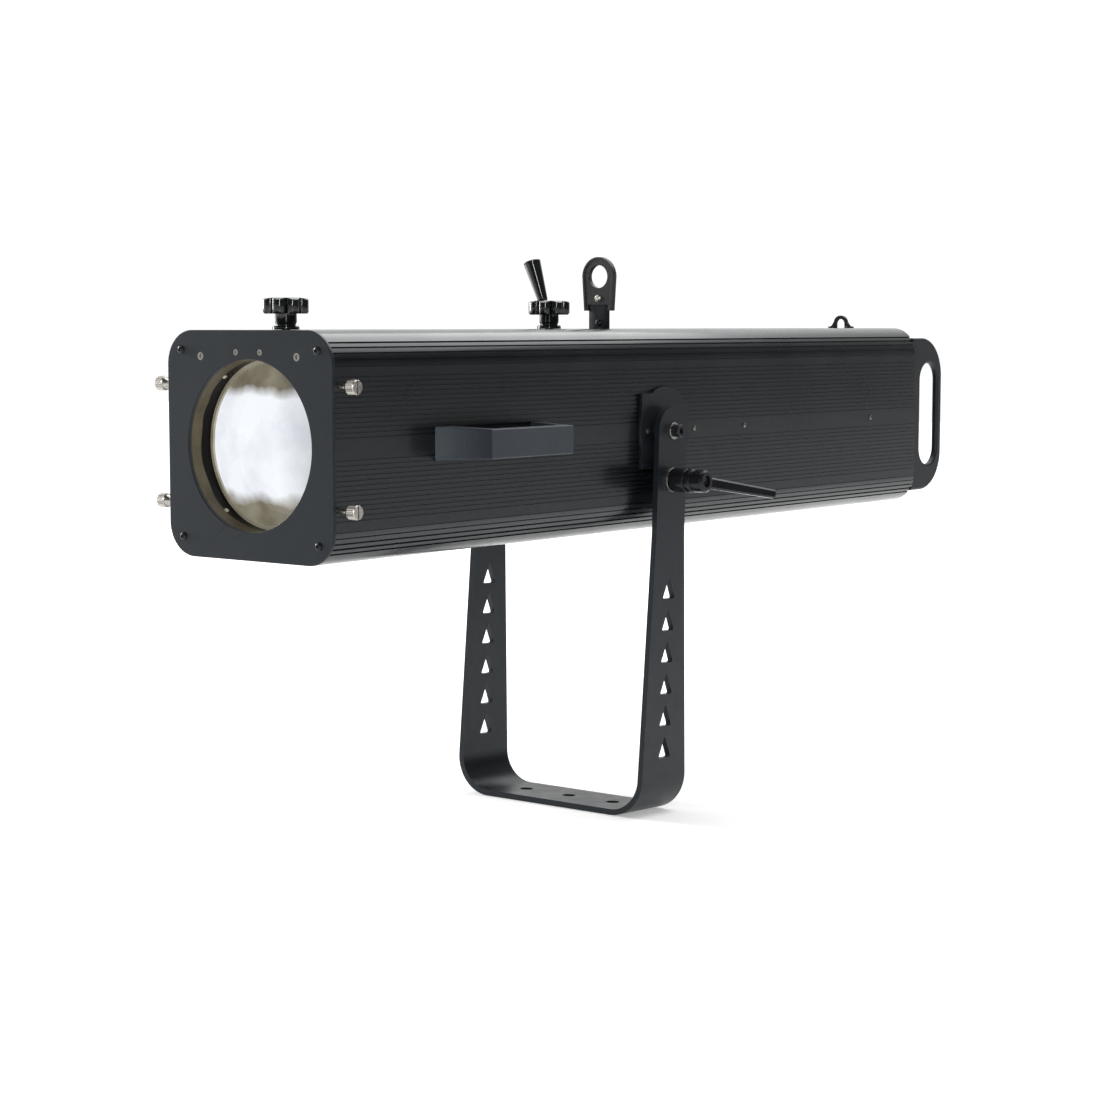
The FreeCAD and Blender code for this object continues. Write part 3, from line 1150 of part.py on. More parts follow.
def make_fan_frame():
    half = FAN_SIZE / 2
    start = fan_start()
    frame = rounded_prism(half, half, FAN_CORNER, start, FAN_DEPTH)
    bore = rod(half - FAN_WALL, (0, start - 1, 0), Y_AXIS, FAN_DEPTH - 2)
    exhaust = tube(half - FAN_WALL, FAN_HUB_RADIUS + 2, (0, start, 0), Y_AXIS, FAN_DEPTH + 1)
    spokes = []
    for index in range(4):
        arm = box((0, start + FAN_DEPTH - FAN_SPOKE, -FAN_SPOKE),
                  (half - 2, start + FAN_DEPTH, FAN_SPOKE))
        arm.rotate(V(0, 0, 0), Y_AXIS, 45 + 90 * index)
        spokes.append(arm)
    pin = rod(FAN_PIN_RADIUS, (0, start + FAN_PIN_START, 0), Y_AXIS, FAN_DEPTH - FAN_PIN_START - 2)
    foot = box((-FOOT_HALF_WIDTH, start, tray_top()), (FOOT_HALF_WIDTH, start + FAN_DEPTH, 2 - half))
    return fuse([frame.cut(bore).cut(exhaust), pin, foot] + spokes)


def make_fan_rotor():
    start = fan_start() + FAN_GAP
    length = FAN_DEPTH - FAN_SPOKE - 2 * FAN_GAP
    hub = rod(FAN_HUB_RADIUS, (0, start, 0), Y_AXIS, length)
    blades = []
    for index in range(FAN_BLADES):
        blade = box((FAN_HUB_RADIUS - 2, start + length / 2 - 1, -FAN_BLADE_HALF),
                    (FAN_SIZE / 2 - FAN_WALL - 2, start + length / 2 + 1, FAN_BLADE_HALF))
        blade.rotate(V(0, start + length / 2, 0), X_AXIS, FAN_BLADE_PITCH)
        blade.rotate(V(0, 0, 0), Y_AXIS, 360.0 * index / FAN_BLADES)
        blades.append(blade)
    bore = rod(FAN_PIN_RADIUS + RUNNING_CLEARANCE, (0, start - 1, 0), Y_AXIS, length + 2)
    return fuse([hub] + blades).cut(bore)


def make_power_supply():
    """Sheet case, open below, with vent slots pressed in its top."""
    half = SUPPLY_HALF_WIDTH
    wall = SUPPLY_WALL
    rear = SUPPLY_PLACE + SUPPLY_LENGTH
    top = tray_top() + SUPPLY_HEIGHT
    case = box((-half, SUPPLY_PLACE, tray_top()), (half, rear, top))
    cuts = [box((wall - half, SUPPLY_PLACE + wall, tray_top()), (half - wall, rear - wall, top - wall))]
    for index in range(SUPPLY_SLOTS):
        y = SUPPLY_PLACE + SUPPLY_SLOT_START + index * SUPPLY_SLOT_PITCH
        cuts.append(box((-SUPPLY_SLOT_HALF, y, top - wall / 2),
                        (SUPPLY_SLOT_HALF, y + SUPPLY_SLOT_WIDTH, top + 1)))
    return case.cut(Part.makeCompound(cuts))


# Rear ------------------------------------------------------------------------------------------

def ear_inner():
    return INNER_HALF - EAR_THICKNESS


def upright_block(centre_x, centre_z, width, height, start, end):
    """Box centred on a point of the rear panel, running from start to end."""
    return box((centre_x - width / 2, start, centre_z - height / 2),
               (centre_x + width / 2, end, centre_z + height / 2))


def make_rear_panel():
    half_width = ear_inner() - FACE_CLEARANCE
    half_height = INNER_HALF - FACE_CLEARANCE
    panel = rounded_prism(half_width, half_height, BULKHEAD_CORNER, REAR_PANEL_PLACE, REAR_PANEL_THICKNESS)
    low = REAR_PANEL_PLACE - 1
    high = REAR_FACE + 1
    cuts = [upright_block(INLET_OFFSET, REAR_ROW, INLET_WIDTH, INLET_HEIGHT, low, high),
            upright_block(SWITCH_OFFSET, REAR_ROW, SWITCH_WIDTH, SWITCH_HEIGHT, low, high)]
    for side in SIDES:
        cuts.append(rod(SOCKET_RADIUS, (side * SOCKET_OFFSET, low, SOCKET_HEIGHT), Y_AXIS, high - low))
        for up in SIDES:
            place = (side * CORNER_SCREW_PLACE, low, up * CORNER_SCREW_PLACE)
            cuts.append(rod(SCREW_PORT_RADIUS + REAR_PORT_CLEARANCE, place, Y_AXIS, high - low))
    for index in range(VENT_SLOTS):
        z = VENT_RISE - INNER_HALF + index * VENT_PITCH
        cuts.append(box((-VENT_HALF_WIDTH, low, z), (VENT_HALF_WIDTH, high, z + VENT_HEIGHT)))
    return panel.cut(Part.makeCompound(cuts))


def make_power_inlet():
    """Shrouded three-pin inlet, clipped in from behind."""
    width, height = INLET_WIDTH, INLET_HEIGHT
    body = upright_block(INLET_OFFSET, REAR_ROW, width, height, REAR_FACE - INLET_DEPTH, REAR_FACE)
    lip = upright_block(INLET_OFFSET, REAR_ROW, width + 4, height + 4, REAR_FACE, REAR_FACE + 2)
    mouth = upright_block(INLET_OFFSET, REAR_ROW, INLET_MOUTH_WIDTH, INLET_MOUTH_HEIGHT,
                          REAR_FACE - INLET_MOUTH_DEPTH, REAR_FACE + 3)
    pins = []
    for across, up in INLET_PINS:
        pins.append(upright_block(INLET_OFFSET + across, REAR_ROW + up, 2, 4,
                                  REAR_FACE - INLET_MOUTH_DEPTH - 1,
                                  REAR_FACE - INLET_MOUTH_DEPTH / 2 - 1))
    return fuse([body.fuse(lip).cut(mouth)] + pins)


def make_switch_frame():
    width, height = SWITCH_WIDTH, SWITCH_HEIGHT
    body = upright_block(SWITCH_OFFSET, REAR_ROW, width, height, REAR_PANEL_PLACE - SWITCH_BODY_DEPTH,
                         REAR_FACE)
    lip = upright_block(SWITCH_OFFSET, REAR_ROW, width + 4, height + 4, REAR_FACE,
                        REAR_FACE + SWITCH_LIP)
    well = upright_block(SWITCH_OFFSET, REAR_ROW, width - 4, height - 4, REAR_FACE - SWITCH_WELL_DEPTH,
                         REAR_FACE + 3)
    return body.fuse(lip).cut(well)


def make_power_rocker():
    """Rocker with a dished face, tipped to its off position about an axle along X."""
    centre = V(SWITCH_OFFSET, REAR_FACE - 3, REAR_ROW)
    half = SWITCH_HEIGHT / 2 - 3
    wide = SWITCH_WIDTH / 2 - ROCKER_GAP
    outline = ((-1.5, -half), (5, -half), (3, 0), (5, half), (-1.5, half))
    points = [centre + V(-wide, back, up) for back, up in outline]
    rocker = polygon_prism(points, V(2 * wide, 0, 0))
    rocker.rotate(centre, X_AXIS, ROCKER_TIP)
    return rocker


def make_data_socket(side):
    """Round chassis socket with a square flange and three pins."""
    x = side * SOCKET_OFFSET
    z = SOCKET_HEIGHT
    body = rod(SOCKET_RADIUS, (x, REAR_PANEL_PLACE - SOCKET_DEPTH, z), Y_AXIS,
               REAR_FACE - REAR_PANEL_PLACE + SOCKET_DEPTH)
    flange = upright_block(x, z, 2 * SOCKET_RADIUS + 3, 2 * SOCKET_RADIUS + 7, REAR_FACE, REAR_FACE + 2)
    mouth = rod(SOCKET_RADIUS - SOCKET_WALL, (x, REAR_FACE - SOCKET_MOUTH_DEPTH, z), Y_AXIS,
                SOCKET_MOUTH_DEPTH + 4)
    pins = []
    for index in range(3):
        turn = math.radians(90 + 120 * index)
        foot = (x + SOCKET_PIN_CIRCLE * math.cos(turn), REAR_FACE - SOCKET_MOUTH_DEPTH - 1,
                z + SOCKET_PIN_CIRCLE * math.sin(turn))
        pins.append(rod(SOCKET_PIN_RADIUS, foot, Y_AXIS, SOCKET_MOUTH_DEPTH / 2 + 1))
    return fuse([body.fuse(flange).cut(mouth)] + pins)


def make_ear(side):
    inner = ear_inner()
    outer = INNER_HALF - EAR_SIDE_CLEARANCE
    start = HOUSING_END + 2 * EAR_SIDE_CLEARANCE
    tall = HALF - EAR_MARGIN
    plate = box((inner, start, -tall), (outer, EAR_END, tall))
    corners = [edge for edge in plate.Edges
               if abs(edge.tangentAt(0).x) > PARALLEL and edge.BoundBox.YMin > EAR_END - 1]
    plate = plate.makeFillet(EAR_CORNER, corners)
    slot_end = EAR_SLOT_HALF_HEIGHT - EAR_SLOT_RADIUS
    slot = box((0, EAR_SLOT_CENTRE - EAR_SLOT_RADIUS, -slot_end),
               (HALF, EAR_SLOT_CENTRE + EAR_SLOT_RADIUS, slot_end))
    ends = [rod(EAR_SLOT_RADIUS, (0, EAR_SLOT_CENTRE, up * slot_end), X_AXIS, HALF) for up in SIDES]
    plate = plate.cut(fuse([slot] + ends))
    rim = [edge for edge in plate.Edges
           if edge.BoundBox.XLength < TINY and edge.BoundBox.YMax > start + 1]
    plate = plate.makeFillet(EAR_EDGE, rim)
    tongue = box((inner, EAR_TONGUE_START, -EAR_TONGUE_HALF_HEIGHT),
                 (outer, start + EAR_SIDE_CLEARANCE, EAR_TONGUE_HALF_HEIGHT))
    ear = plate.fuse(tongue).cut(rod(M4_RADIUS, (0, TONGUE_SCREW_PLACE, 0), X_AXIS, HALF))
    return mirrored(ear, side)


# Side handles and safety eye -------------------------------------------------------------------

def handle_screw_places():
    return (HANDLE_FRONT + HANDLE_SCREW_INSET, HANDLE_REAR - HANDLE_SCREW_INSET)


def handle_outline():
    """Plan of the handle: swept legs and a straight grip, as a face at Z = 0."""
    reach = HALF + HANDLE_REACH
    inner = reach - HANDLE_GRIP_THICKNESS
    front = HANDLE_FRONT + HANDLE_SWEEP
    rear = HANDLE_REAR - HANDLE_SWEEP
    half_reach = HANDLE_REACH / 2
    rise = math.sqrt(HANDLE_SWEEP_RADIUS ** 2 - half_reach ** 2)
    bulge = HANDLE_SWEEP_RADIUS - rise
    front_leg = Part.Arc(V(HALF, HANDLE_FRONT, 0), V(HALF + half_reach, front - bulge, 0), V(reach, front, 0))
    rear_leg = Part.Arc(V(reach, rear, 0), V(HALF + half_reach, rear + bulge, 0), V(HALF, HANDLE_REAR, 0))
    front_root = HANDLE_FRONT + HANDLE_ROOT_WIDTH
    rear_root = HANDLE_REAR - HANDLE_ROOT_WIDTH
    path = [V(HALF, HANDLE_REAR, 0), V(HALF, rear_root, 0), V(inner - 4, rear_root - HANDLE_ROOT_BLEND, 0),
            V(inner, rear_root - 1.5 * HANDLE_ROOT_BLEND, 0), V(inner,
                                                                front_root + 1.5 * HANDLE_ROOT_BLEND, 0),
                                                                V(inner - 4,
                                                                  front_root + HANDLE_ROOT_BLEND, 0),
            V(HALF, front_root, 0), V(HALF, HANDLE_FRONT, 0)]
    grip = Part.LineSegment(V(reach, front, 0), V(reach, rear, 0))
    edges = [front_leg.toShape(), grip.toShape(), rear_leg.toShape()] + Part.makePolygon(path).Edges
    return Part.Face(Part.Wire(edges))


def make_side_handle(side):
    """Bridge handle with rounded edges, a little taller at its roots."""
    reach = HALF + HANDLE_REACH
    half = HANDLE_ROOT_HEIGHT / 2
    outline = handle_outline()
    outline.translate(V(0, 0, -half))
    bar = outline.extrude(V(0, 0, HANDLE_ROOT_HEIGHT))
    grip = HANDLE_GRIP_HEIGHT / 2
    taper = [V(HALF, 0, -half), V(reach, 0, -grip), V(reach, 0, grip), V(HALF, 0, half)]
    bar = bar.common(polygon_prism(taper, V(0, HOUSING_END, 0)))
    bar = bar.makeFillet(HANDLE_EDGE, [edge for edge in bar.Edges if edge.BoundBox.XMax > HALF + 0.01])
    holes = [rod(M4_RADIUS, (HALF, place, 0), X_AXIS, 8) for place in handle_screw_places()]
    return mirrored(bar.cut(Part.makeCompound(holes)), side)


def make_handle_screw(place, side):
    """Countersunk from inside the housing wall up into the handle's root."""
    head = rod(HANDLE_SCREW_HEAD_RADIUS, (INNER_HALF - 2 - HANDLE_SCREW_HEAD_LENGTH, place, 0), X_AXIS,
               HANDLE_SCREW_HEAD_LENGTH)
    shank = rod(M4_RADIUS, (INNER_HALF - 2, place, 0), X_AXIS, WALL + 2 + 8)
    return mirrored(head.fuse(shank), side)


def make_safety_eye():
    """Flat loop on two feet, standing across the housing top."""
    x = EYE_OFFSET
    front = EYE_BACK - EYE_THICKNESS / 2
    radius = EYE_HEIGHT / 2 + EYE_RIM
    centre = HALF + EYE_HEIGHT - radius
    half = EYE_WIDTH / 2
    loop = rod(radius, (x, front, centre), Y_AXIS, EYE_THICKNESS)
    skirt = ((half, 0), (half - 5, 3), *EYE_NECK, (5 - half, 3), (-half, 0))
    web = polygon_prism([V(x + across, front, HALF + up) for across, up in skirt], V(0, EYE_THICKNESS, 0))
    keep = box((x - EYE_WIDTH, EYE_BACK - EYE_WIDTH, HALF),
               (x + EYE_WIDTH, EYE_BACK + EYE_WIDTH, HALF + EYE_WIDTH))
    feet = []
    cuts = [rod(EYE_HOLE, (x, EYE_BACK - 10, centre - 1), Y_AXIS, 20),
            box((x - EYE_HOLE, EYE_BACK - 10, HALF - 1), (x + EYE_HOLE, EYE_BACK + 10, centre - 1))]
    for way in SIDES:
        place = x + way * (half - EYE_FOOT_INSET)
        feet.append(rod(EYE_FOOT_RADIUS, (place, EYE_BACK, HALF), Z_AXIS, 2.0))
        cuts.append(rod(M4_RADIUS, (place, EYE_BACK, HALF - 1), Z_AXIS, 5))
    return fuse([loop, web] + feet).common(keep).cut(Part.makeCompound(cuts))


# Write every sub-part --------------------------------------------------------------------------

os.makedirs("parts", exist_ok=True)

save("yoke", [make_yoke()], False)
save("brake_shoe", [make_brake_shoe()], False)
save("clamp_stud", [make_clamp_stud()], False)
save("clamp_washer", [make_clamp_washer()], False)
save("clamp_lever", [make_clamp_lever()], False)
save("clamp_lever_screw", [make_lever_screw()], False)

save("bracket_plate_right", [make_bracket_plate(1)])
save("bracket_plate_left", [make_bracket_plate(-1)])
save("pivot_bolts", [make_pivot_bolt(side) for side in SIDES])
save("pivot_washers", [make_pivot_washer(side) for side in SIDES])
save("pivot_spacers", [make_pivot_spacer(side) for side in SIDES])

save("lower_housing", [make_housing(False)])
save("upper_housing", [make_housing(True)])
save("front_plate", [make_front_plate()])
save("front_plate_screws", [make_corner_screw(side, up) for side in SIDES for up in SIDES])
save("front_bulkhead", [make_front_bulkhead()])
silver = [make_bulkhead_screw(*place) for place in bulkhead_screw_places()]
for screw_side in SIDES:
    for screw_place in SIDE_SCREW_PLACES:
        silver.append(make_side_screw(screw_place, screw_side, HALF, BAND_SCREW_HEAD_RADIUS))
    for screw_offset in (-BRACKET_SCREW_OFFSET, BRACKET_SCREW_OFFSET):
        silver.append(make_side_screw(PIVOT_BACK + screw_offset, screw_side, BRACKET_FACE, 3.2))
save("silver_screws", silver)
thumb_places = [(side, up) for side in SIDES for up in SIDES]
for number, (thumb_side, thumb_up) in enumerate(thumb_places, 1):
    save("thumbscrew_" + str(number), [make_thumbscrew(thumb_side, thumb_up)])

save("guide_rods", make_guide_rods())
save("focus_carriage", [make_focus_carriage()])
save("focus_lens_cell", [make_focus_cell()])
save("focus_lens", [make_focus_lens()])
save("focus_lens_ring", [make_lens_ring()])
save("focus_knob", [make_star_knob(FOCUS_PLACE)])
save("zoom_carriage", [carriage_plate(ZOOM_PLACE, ZOOM_LENS_RADIUS, ZOOM_LENS_RADIUS + ZOOM_LENS_MARGIN)])
save("zoom_lens", [make_zoom_lens()])
save("zoom_knob", [make_star_knob(ZOOM_PLACE)])

save("iris_housing", [make_iris_housing()])
save("iris_ring", [make_iris_ring()])
save("iris_handle", [make_iris_handle()])
for leaf in range(IRIS_LEAVES):
    save("iris_leaf_" + str(leaf + 1), [make_iris_leaf(leaf)])

save("gate_frame", [make_gate_frame()])
save("gate_slide", [make_gate_slide()])
save("ring_paddle", [make_ring_paddle()])
save("paddle_screws", make_paddle_screws())

save("lamp_tray", [make_lamp_tray()])
save("condenser_lens", [lens(CONDENSER_RADIUS, CONDENSER_PLACE, CONDENSER_EDGE, CONDENSER_CROWN)])
save("led_module", [make_led_module()])
save("heat_sink", [make_heat_sink()])
save("fan_frame", [make_fan_frame()])
save("fan_rotor", [make_fan_rotor()])
save("power_supply", [make_power_supply()])

save("rear_panel", [make_rear_panel()])
save("power_inlet", [make_power_inlet()])
save("switch_frame", [make_switch_frame()])
save("power_rocker", [make_power_rocker()])
save("data_sockets", [make_data_socket(side) for side in SIDES])
save("rear_grip_right", [make_ear(1)])
save("rear_grip_left", [make_ear(-1)])
save("side_handle_right", [make_side_handle(1)])
save("side_handle_left", [make_side_handle(-1)])
save("handle_screws", [make_handle_screw(place, side) for side in SIDES for place in handle_screw_places()])
save("safety_eye", [make_safety_eye()])
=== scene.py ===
import json
import math

import bpy
from mathutils import Matrix, Vector


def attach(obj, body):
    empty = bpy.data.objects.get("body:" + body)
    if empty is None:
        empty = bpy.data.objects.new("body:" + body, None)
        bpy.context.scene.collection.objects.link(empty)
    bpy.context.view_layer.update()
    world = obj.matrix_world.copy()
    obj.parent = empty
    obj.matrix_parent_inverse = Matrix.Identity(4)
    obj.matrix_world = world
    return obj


# Looks for the follow spot: materials, edge rounding, studio and camera. Metres, in the frame of the part.

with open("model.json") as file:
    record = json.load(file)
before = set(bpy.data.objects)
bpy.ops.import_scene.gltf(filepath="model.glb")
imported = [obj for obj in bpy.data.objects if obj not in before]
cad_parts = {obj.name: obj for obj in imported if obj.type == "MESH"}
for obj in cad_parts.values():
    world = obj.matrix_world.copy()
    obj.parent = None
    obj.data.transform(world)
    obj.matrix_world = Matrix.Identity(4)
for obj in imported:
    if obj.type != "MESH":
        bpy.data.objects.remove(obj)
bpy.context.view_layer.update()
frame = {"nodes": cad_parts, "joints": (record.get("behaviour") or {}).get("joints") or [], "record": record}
nodes = frame["nodes"]
joints = {joint["name"]: joint for joint in frame["joints"]}

# Front lens's painted glow and its cell, in metres from the optical axis or the front plate
LENS_GLOW_FADE_BEGIN = 0.043
LENS_GLOW_FADE_END = 0.055
CELL_BLACK_BEGIN = 0.0145
CELL_BLACK_END = 0.0155
PADDLE_SCREW_SPLIT = 0.122

# The head's own axes at rest, from its joints
PIVOT = Vector(joints["head_tilt"]["pos_m"])
ACROSS = Vector((1, 0, 0))
AHEAD = Vector(joints["focus_slide"]["axis"]).normalized()
UP = ACROSS.cross(AHEAD).normalized()
HEAD_TILT = math.atan2(AHEAD.z, AHEAD.y)
FRONT_TO_PIVOT = 0.483


def head_point(x, back, z):
    """Point given from the front plate's centre: to the right, rearward and up, in the head's axes."""
    return PIVOT + ACROSS * x + AHEAD * (back - FRONT_TO_PIVOT) + UP * z


# Materials ------------------------------------------------------------------------------------

class Graph:
    """Short names for the node-tree calls that every material uses."""

    def __init__(self, name):
        self.material = bpy.data.materials.new(name)
        self.material.use_nodes = True
        self.tree = self.material.node_tree
        self.shader = self.tree.nodes["Principled BSDF"]
        coordinates = self.node("ShaderNodeTexCoord")
        self.place = coordinates.outputs["Object"]

    def node(self, kind, **values):
        made = self.tree.nodes.new(kind)
        for key, value in values.items():
            setattr(made, key, value)
        return made

    def link(self, output, socket):
        self.tree.links.new(output, socket)

    def set(self, **values):
        for key, value in values.items():
            self.shader.inputs[key.replace("_", " ")].default_value = value

    def stretched(self, scale, turn=(0, 0, 0)):
        mapping = self.node("ShaderNodeMapping")
        mapping.inputs["Scale"].default_value = scale
        mapping.inputs["Rotation"].default_value = turn
        self.link(self.place, mapping.inputs["Vector"])
        return mapping.outputs["Vector"]

    def noise(self, scale, detail=2.0, rough=0.5, vector=None):
        made = self.node("ShaderNodeTexNoise")
        made.inputs["Scale"].default_value = scale
        made.inputs["Detail"].default_value = detail
        made.inputs["Roughness"].default_value = rough
        self.link(vector or self.place, made.inputs["Vector"])
        return made.outputs["Fac"]

    def spread(self, value, low, high, start=0.3, end=0.7):
        made = self.node("ShaderNodeMapRange")
        made.inputs["From Min"].default_value = start
        made.inputs["From Max"].default_value = end
        made.inputs["To Min"].default_value = low
        made.inputs["To Max"].default_value = high
        self.link(value, made.inputs["Value"])
        return made.outputs["Result"]

    def blend(self, value, dark, light, start=0.3, end=0.7):
        ramp = self.node("ShaderNodeValToRGB")
        ramp.color_ramp.elements[0].position = start
        ramp.color_ramp.elements[0].color = (*dark, 1)
        ramp.color_ramp.elements[1].position = end
        ramp.color_ramp.elements[1].color = (*light, 1)
        self.link(value, ramp.inputs["Fac"])
        return ramp.outputs["Color"]

    def bump(self, height, strength, distance):
        made = self.node("ShaderNodeBump")
        made.inputs["Strength"].default_value = strength
        made.inputs["Distance"].default_value = distance
        self.link(height, made.inputs["Height"])
        self.link(made.outputs["Normal"], self.shader.inputs["Normal"])


COOL = (0.86, 0.95, 1.0, 1)


def powder_coat(name, colour, rough, grain=900.0, depth=0.00012):
    """Satin powder coat: a fine pebble and a slow drift in tone and gloss."""
    graph = Graph(name)
    drift = graph.noise(9.0, 3.0)
    dark = tuple(0.86 * c for c in colour)
    light = tuple(1.16 * c for c in colour)
    graph.link(graph.blend(drift, dark, light), graph.shader.inputs["Base Color"])
    gloss = graph.spread(graph.noise(60.0, 4.0), rough - 0.04, rough + 0.05)
    graph.link(gloss, graph.shader.inputs["Roughness"])
    graph.bump(graph.noise(grain, 2.0), 0.35, depth)
    graph.set(Specular_IOR_Level=0.3, Specular_Tint=COOL)
    return graph.material


def anodised(name, colour, rough):
    """Extruded aluminium, anodised black: faint die lines along its length."""
    graph = Graph(name)
    lines = graph.stretched((420.0, 2.0, 420.0), (-HEAD_TILT, 0, 0))
    streak = graph.noise(1.0, 3.0, 0.6, lines)
    dark = tuple(0.8 * c for c in colour)
    light = tuple(1.25 * c for c in colour)
    graph.link(graph.blend(streak, dark, light), graph.shader.inputs["Base Color"])
    gloss = graph.spread(graph.noise(14.0, 3.0), rough - 0.04, rough + 0.05)
    graph.link(gloss, graph.shader.inputs["Roughness"])
    graph.bump(streak, 0.12, 0.00006)
    graph.set(Specular_IOR_Level=0.35, Coat_Weight=0.35, Coat_Roughness=0.12, Specular_Tint=COOL)
    return graph.material


def gloss_plastic(name, colour, rough):
    """Moulded thermoset with a polished skin and a few soft scuffs."""
    graph = Graph(name)
    tone = graph.noise(45.0, 3.0)
    graph.link(graph.blend(tone, colour, tuple(1.5 * c for c in colour)), graph.shader.inputs["Base Color"])
    scuffs = graph.spread(graph.noise(130.0, 5.0, 0.65), rough, rough + 0.1, 0.55, 0.75)
    graph.link(scuffs, graph.shader.inputs["Roughness"])
    graph.bump(graph.noise(70.0, 1.0), 0.02, 0.0001)
    graph.set(Coat_Weight=0.3, Coat_Roughness=0.05)
    return graph.material


def satin_plastic(name, colour, rough, grain=1400.0):
    """Moulded plastic with a spark-eroded grain."""
    graph = Graph(name)
    graph.link(graph.blend(graph.noise(30.0, 3.0), colour, tuple(1.35 * c for c in colour)),
               graph.shader.inputs["Base Color"])
    gloss = graph.spread(graph.noise(220.0, 3.0), rough - 0.05, rough + 0.06)
    graph.link(gloss, graph.shader.inputs["Roughness"])
    graph.bump(graph.noise(grain, 3.0), 0.4, 0.0001)
    return graph.material


def bare_metal(name, colour, rough, stretch=(300.0, 300.0, 300.0)):
    """Plated or turned metal with fine tool marks."""
    graph = Graph(name)
    marks = graph.noise(1.0, 4.0, 0.6, graph.stretched(stretch))
    graph.link(graph.blend(marks, tuple(0.78 * c for c in colour), colour), graph.shader.inputs["Base Color"])
    graph.link(graph.spread(marks, rough - 0.05, rough + 0.1), graph.shader.inputs["Roughness"])
    graph.bump(marks, 0.15, 0.00008)
    graph.set(Metallic=1.0)
    return graph.material


def head_axes(graph, centre):
    """Separate X (right), Y (rearward) and Z (up) outputs in the head's axes, from a point at rest."""
    offset = graph.node("ShaderNodeVectorMath", operation="SUBTRACT")
    offset.inputs[1].default_value = centre
    graph.link(graph.place, offset.inputs[0])
    level = graph.node("ShaderNodeMapping")
    level.inputs["Rotation"].default_value = (-HEAD_TILT, 0, 0)
    graph.link(offset.outputs["Vector"], level.inputs["Vector"])
    parts = graph.node("ShaderNodeSeparateXYZ")
    graph.link(level.outputs["Vector"], parts.inputs["Vector"])
    return parts.outputs


def painted_glow_lens(name):
    """Front lens with a painted glow for the light it reflects: a white middle with faint smudges, a soft top
    and bottom edge, tan beyond; painted shade dims the right side.
    """
    graph = Graph(name)
    axes = head_axes(graph, head_point(0, 0.03, 0))
    height = graph.node("ShaderNodeMath", operation="ABSOLUTE")
    graph.link(axes["Z"], height.inputs[0])
    warp = graph.node("ShaderNodeMath", operation="ADD")
    graph.link(height.outputs["Value"], warp.inputs[0])
    graph.link(graph.spread(graph.noise(24.0, 3.0), -0.006, 0.006), warp.inputs[1])
    # Mask of the painted white glow in the middle, fading out towards the top and bottom edges
    white = graph.spread(warp.outputs["Value"], 1.0, 0.0, LENS_GLOW_FADE_BEGIN, LENS_GLOW_FADE_END)
    tone = graph.node("ShaderNodeMix", data_type="RGBA")
    graph.link(white, tone.inputs["Factor"])
    # Painted glow colours: tan at the top and bottom, a mottled cool white in the middle
    tan = graph.blend(graph.noise(34.0, 4.0), (0.12, 0.105, 0.07), (0.27, 0.245, 0.185))
    painted_glow_middle = graph.blend(graph.noise(20.0, 6.0, 0.6), (0.78, 0.8, 0.87), (0.93, 0.96, 1.0), 0.32, 0.55)
    graph.link(tan, tone.inputs["A"])
    graph.link(painted_glow_middle, tone.inputs["B"])
    # Painted shade: the glow dims towards the lens's right side
    painted_shade_right = graph.spread(axes["X"], 1.0, 0.5, 0.015, 0.08)
    shade = graph.node("ShaderNodeMix", data_type="RGBA", blend_type="MULTIPLY")
    shade.inputs["Factor"].default_value = 1.0
    graph.link(tone.outputs["Result"], shade.inputs["A"])
    graph.link(painted_shade_right, shade.inputs["B"])
    # The painted colours are emitted, so the lens glows although it is no lamp
    graph.link(shade.outputs["Result"], graph.shader.inputs["Emission Color"])
    graph.link(graph.spread(graph.noise(90.0, 3.0), 0.03, 0.1), graph.shader.inputs["Roughness"])
    graph.set(Base_Color=(0.02, 0.02, 0.02, 1), Emission_Strength=0.96, Specular_IOR_Level=0.2)
    return graph.material


def lens_cell(name):
    """Cell bore: polished tan towards the front, black behind a wavy edge."""
    graph = Graph(name)
    axes = head_axes(graph, head_point(0, 0, 0))
    warp = graph.node("ShaderNodeMath", operation="ADD")
    graph.link(axes["Y"], warp.inputs[0])
    graph.link(graph.spread(graph.noise(22.0, 1.0), -0.0035, 0.0035), warp.inputs[1])
    back = graph.spread(warp.outputs["Value"], 0.0, 1.0, CELL_BLACK_BEGIN, CELL_BLACK_END)
    tan = graph.blend(graph.noise(30.0, 3.0), (0.07, 0.056, 0.034), (0.14, 0.118, 0.075))
    mix = graph.node("ShaderNodeMix", data_type="RGBA")
    graph.link(back, mix.inputs["Factor"])
    graph.link(tan, mix.inputs["A"])
    mix.inputs["B"].default_value = (0.004, 0.003, 0.002, 1)
    graph.link(mix.outputs["Result"], graph.shader.inputs["Base Color"])
    graph.link(graph.spread(graph.noise(60.0, 3.0), 0.25, 0.4), graph.shader.inputs["Roughness"])
    graph.set(Specular_IOR_Level=0.08)
    return graph.material


def painted_glow_ring(name):
    """Pale gold retaining ring with a painted glow: its colour is also emitted, standing in for the lamp's
    light it catches.
    """
    graph = Graph(name)
    tone = graph.blend(graph.noise(40.0, 2.0), (0.27, 0.245, 0.18), (0.4, 0.37, 0.29))
    graph.link(tone, graph.shader.inputs["Base Color"])
    # Painted glow: the ring's own colour is emitted as well
    graph.link(tone, graph.shader.inputs["Emission Color"])
    graph.link(graph.spread(graph.noise(80.0), 0.3, 0.42), graph.shader.inputs["Roughness"])
    graph.set(Metallic=0.7, Emission_Strength=0.4)
    return graph.material


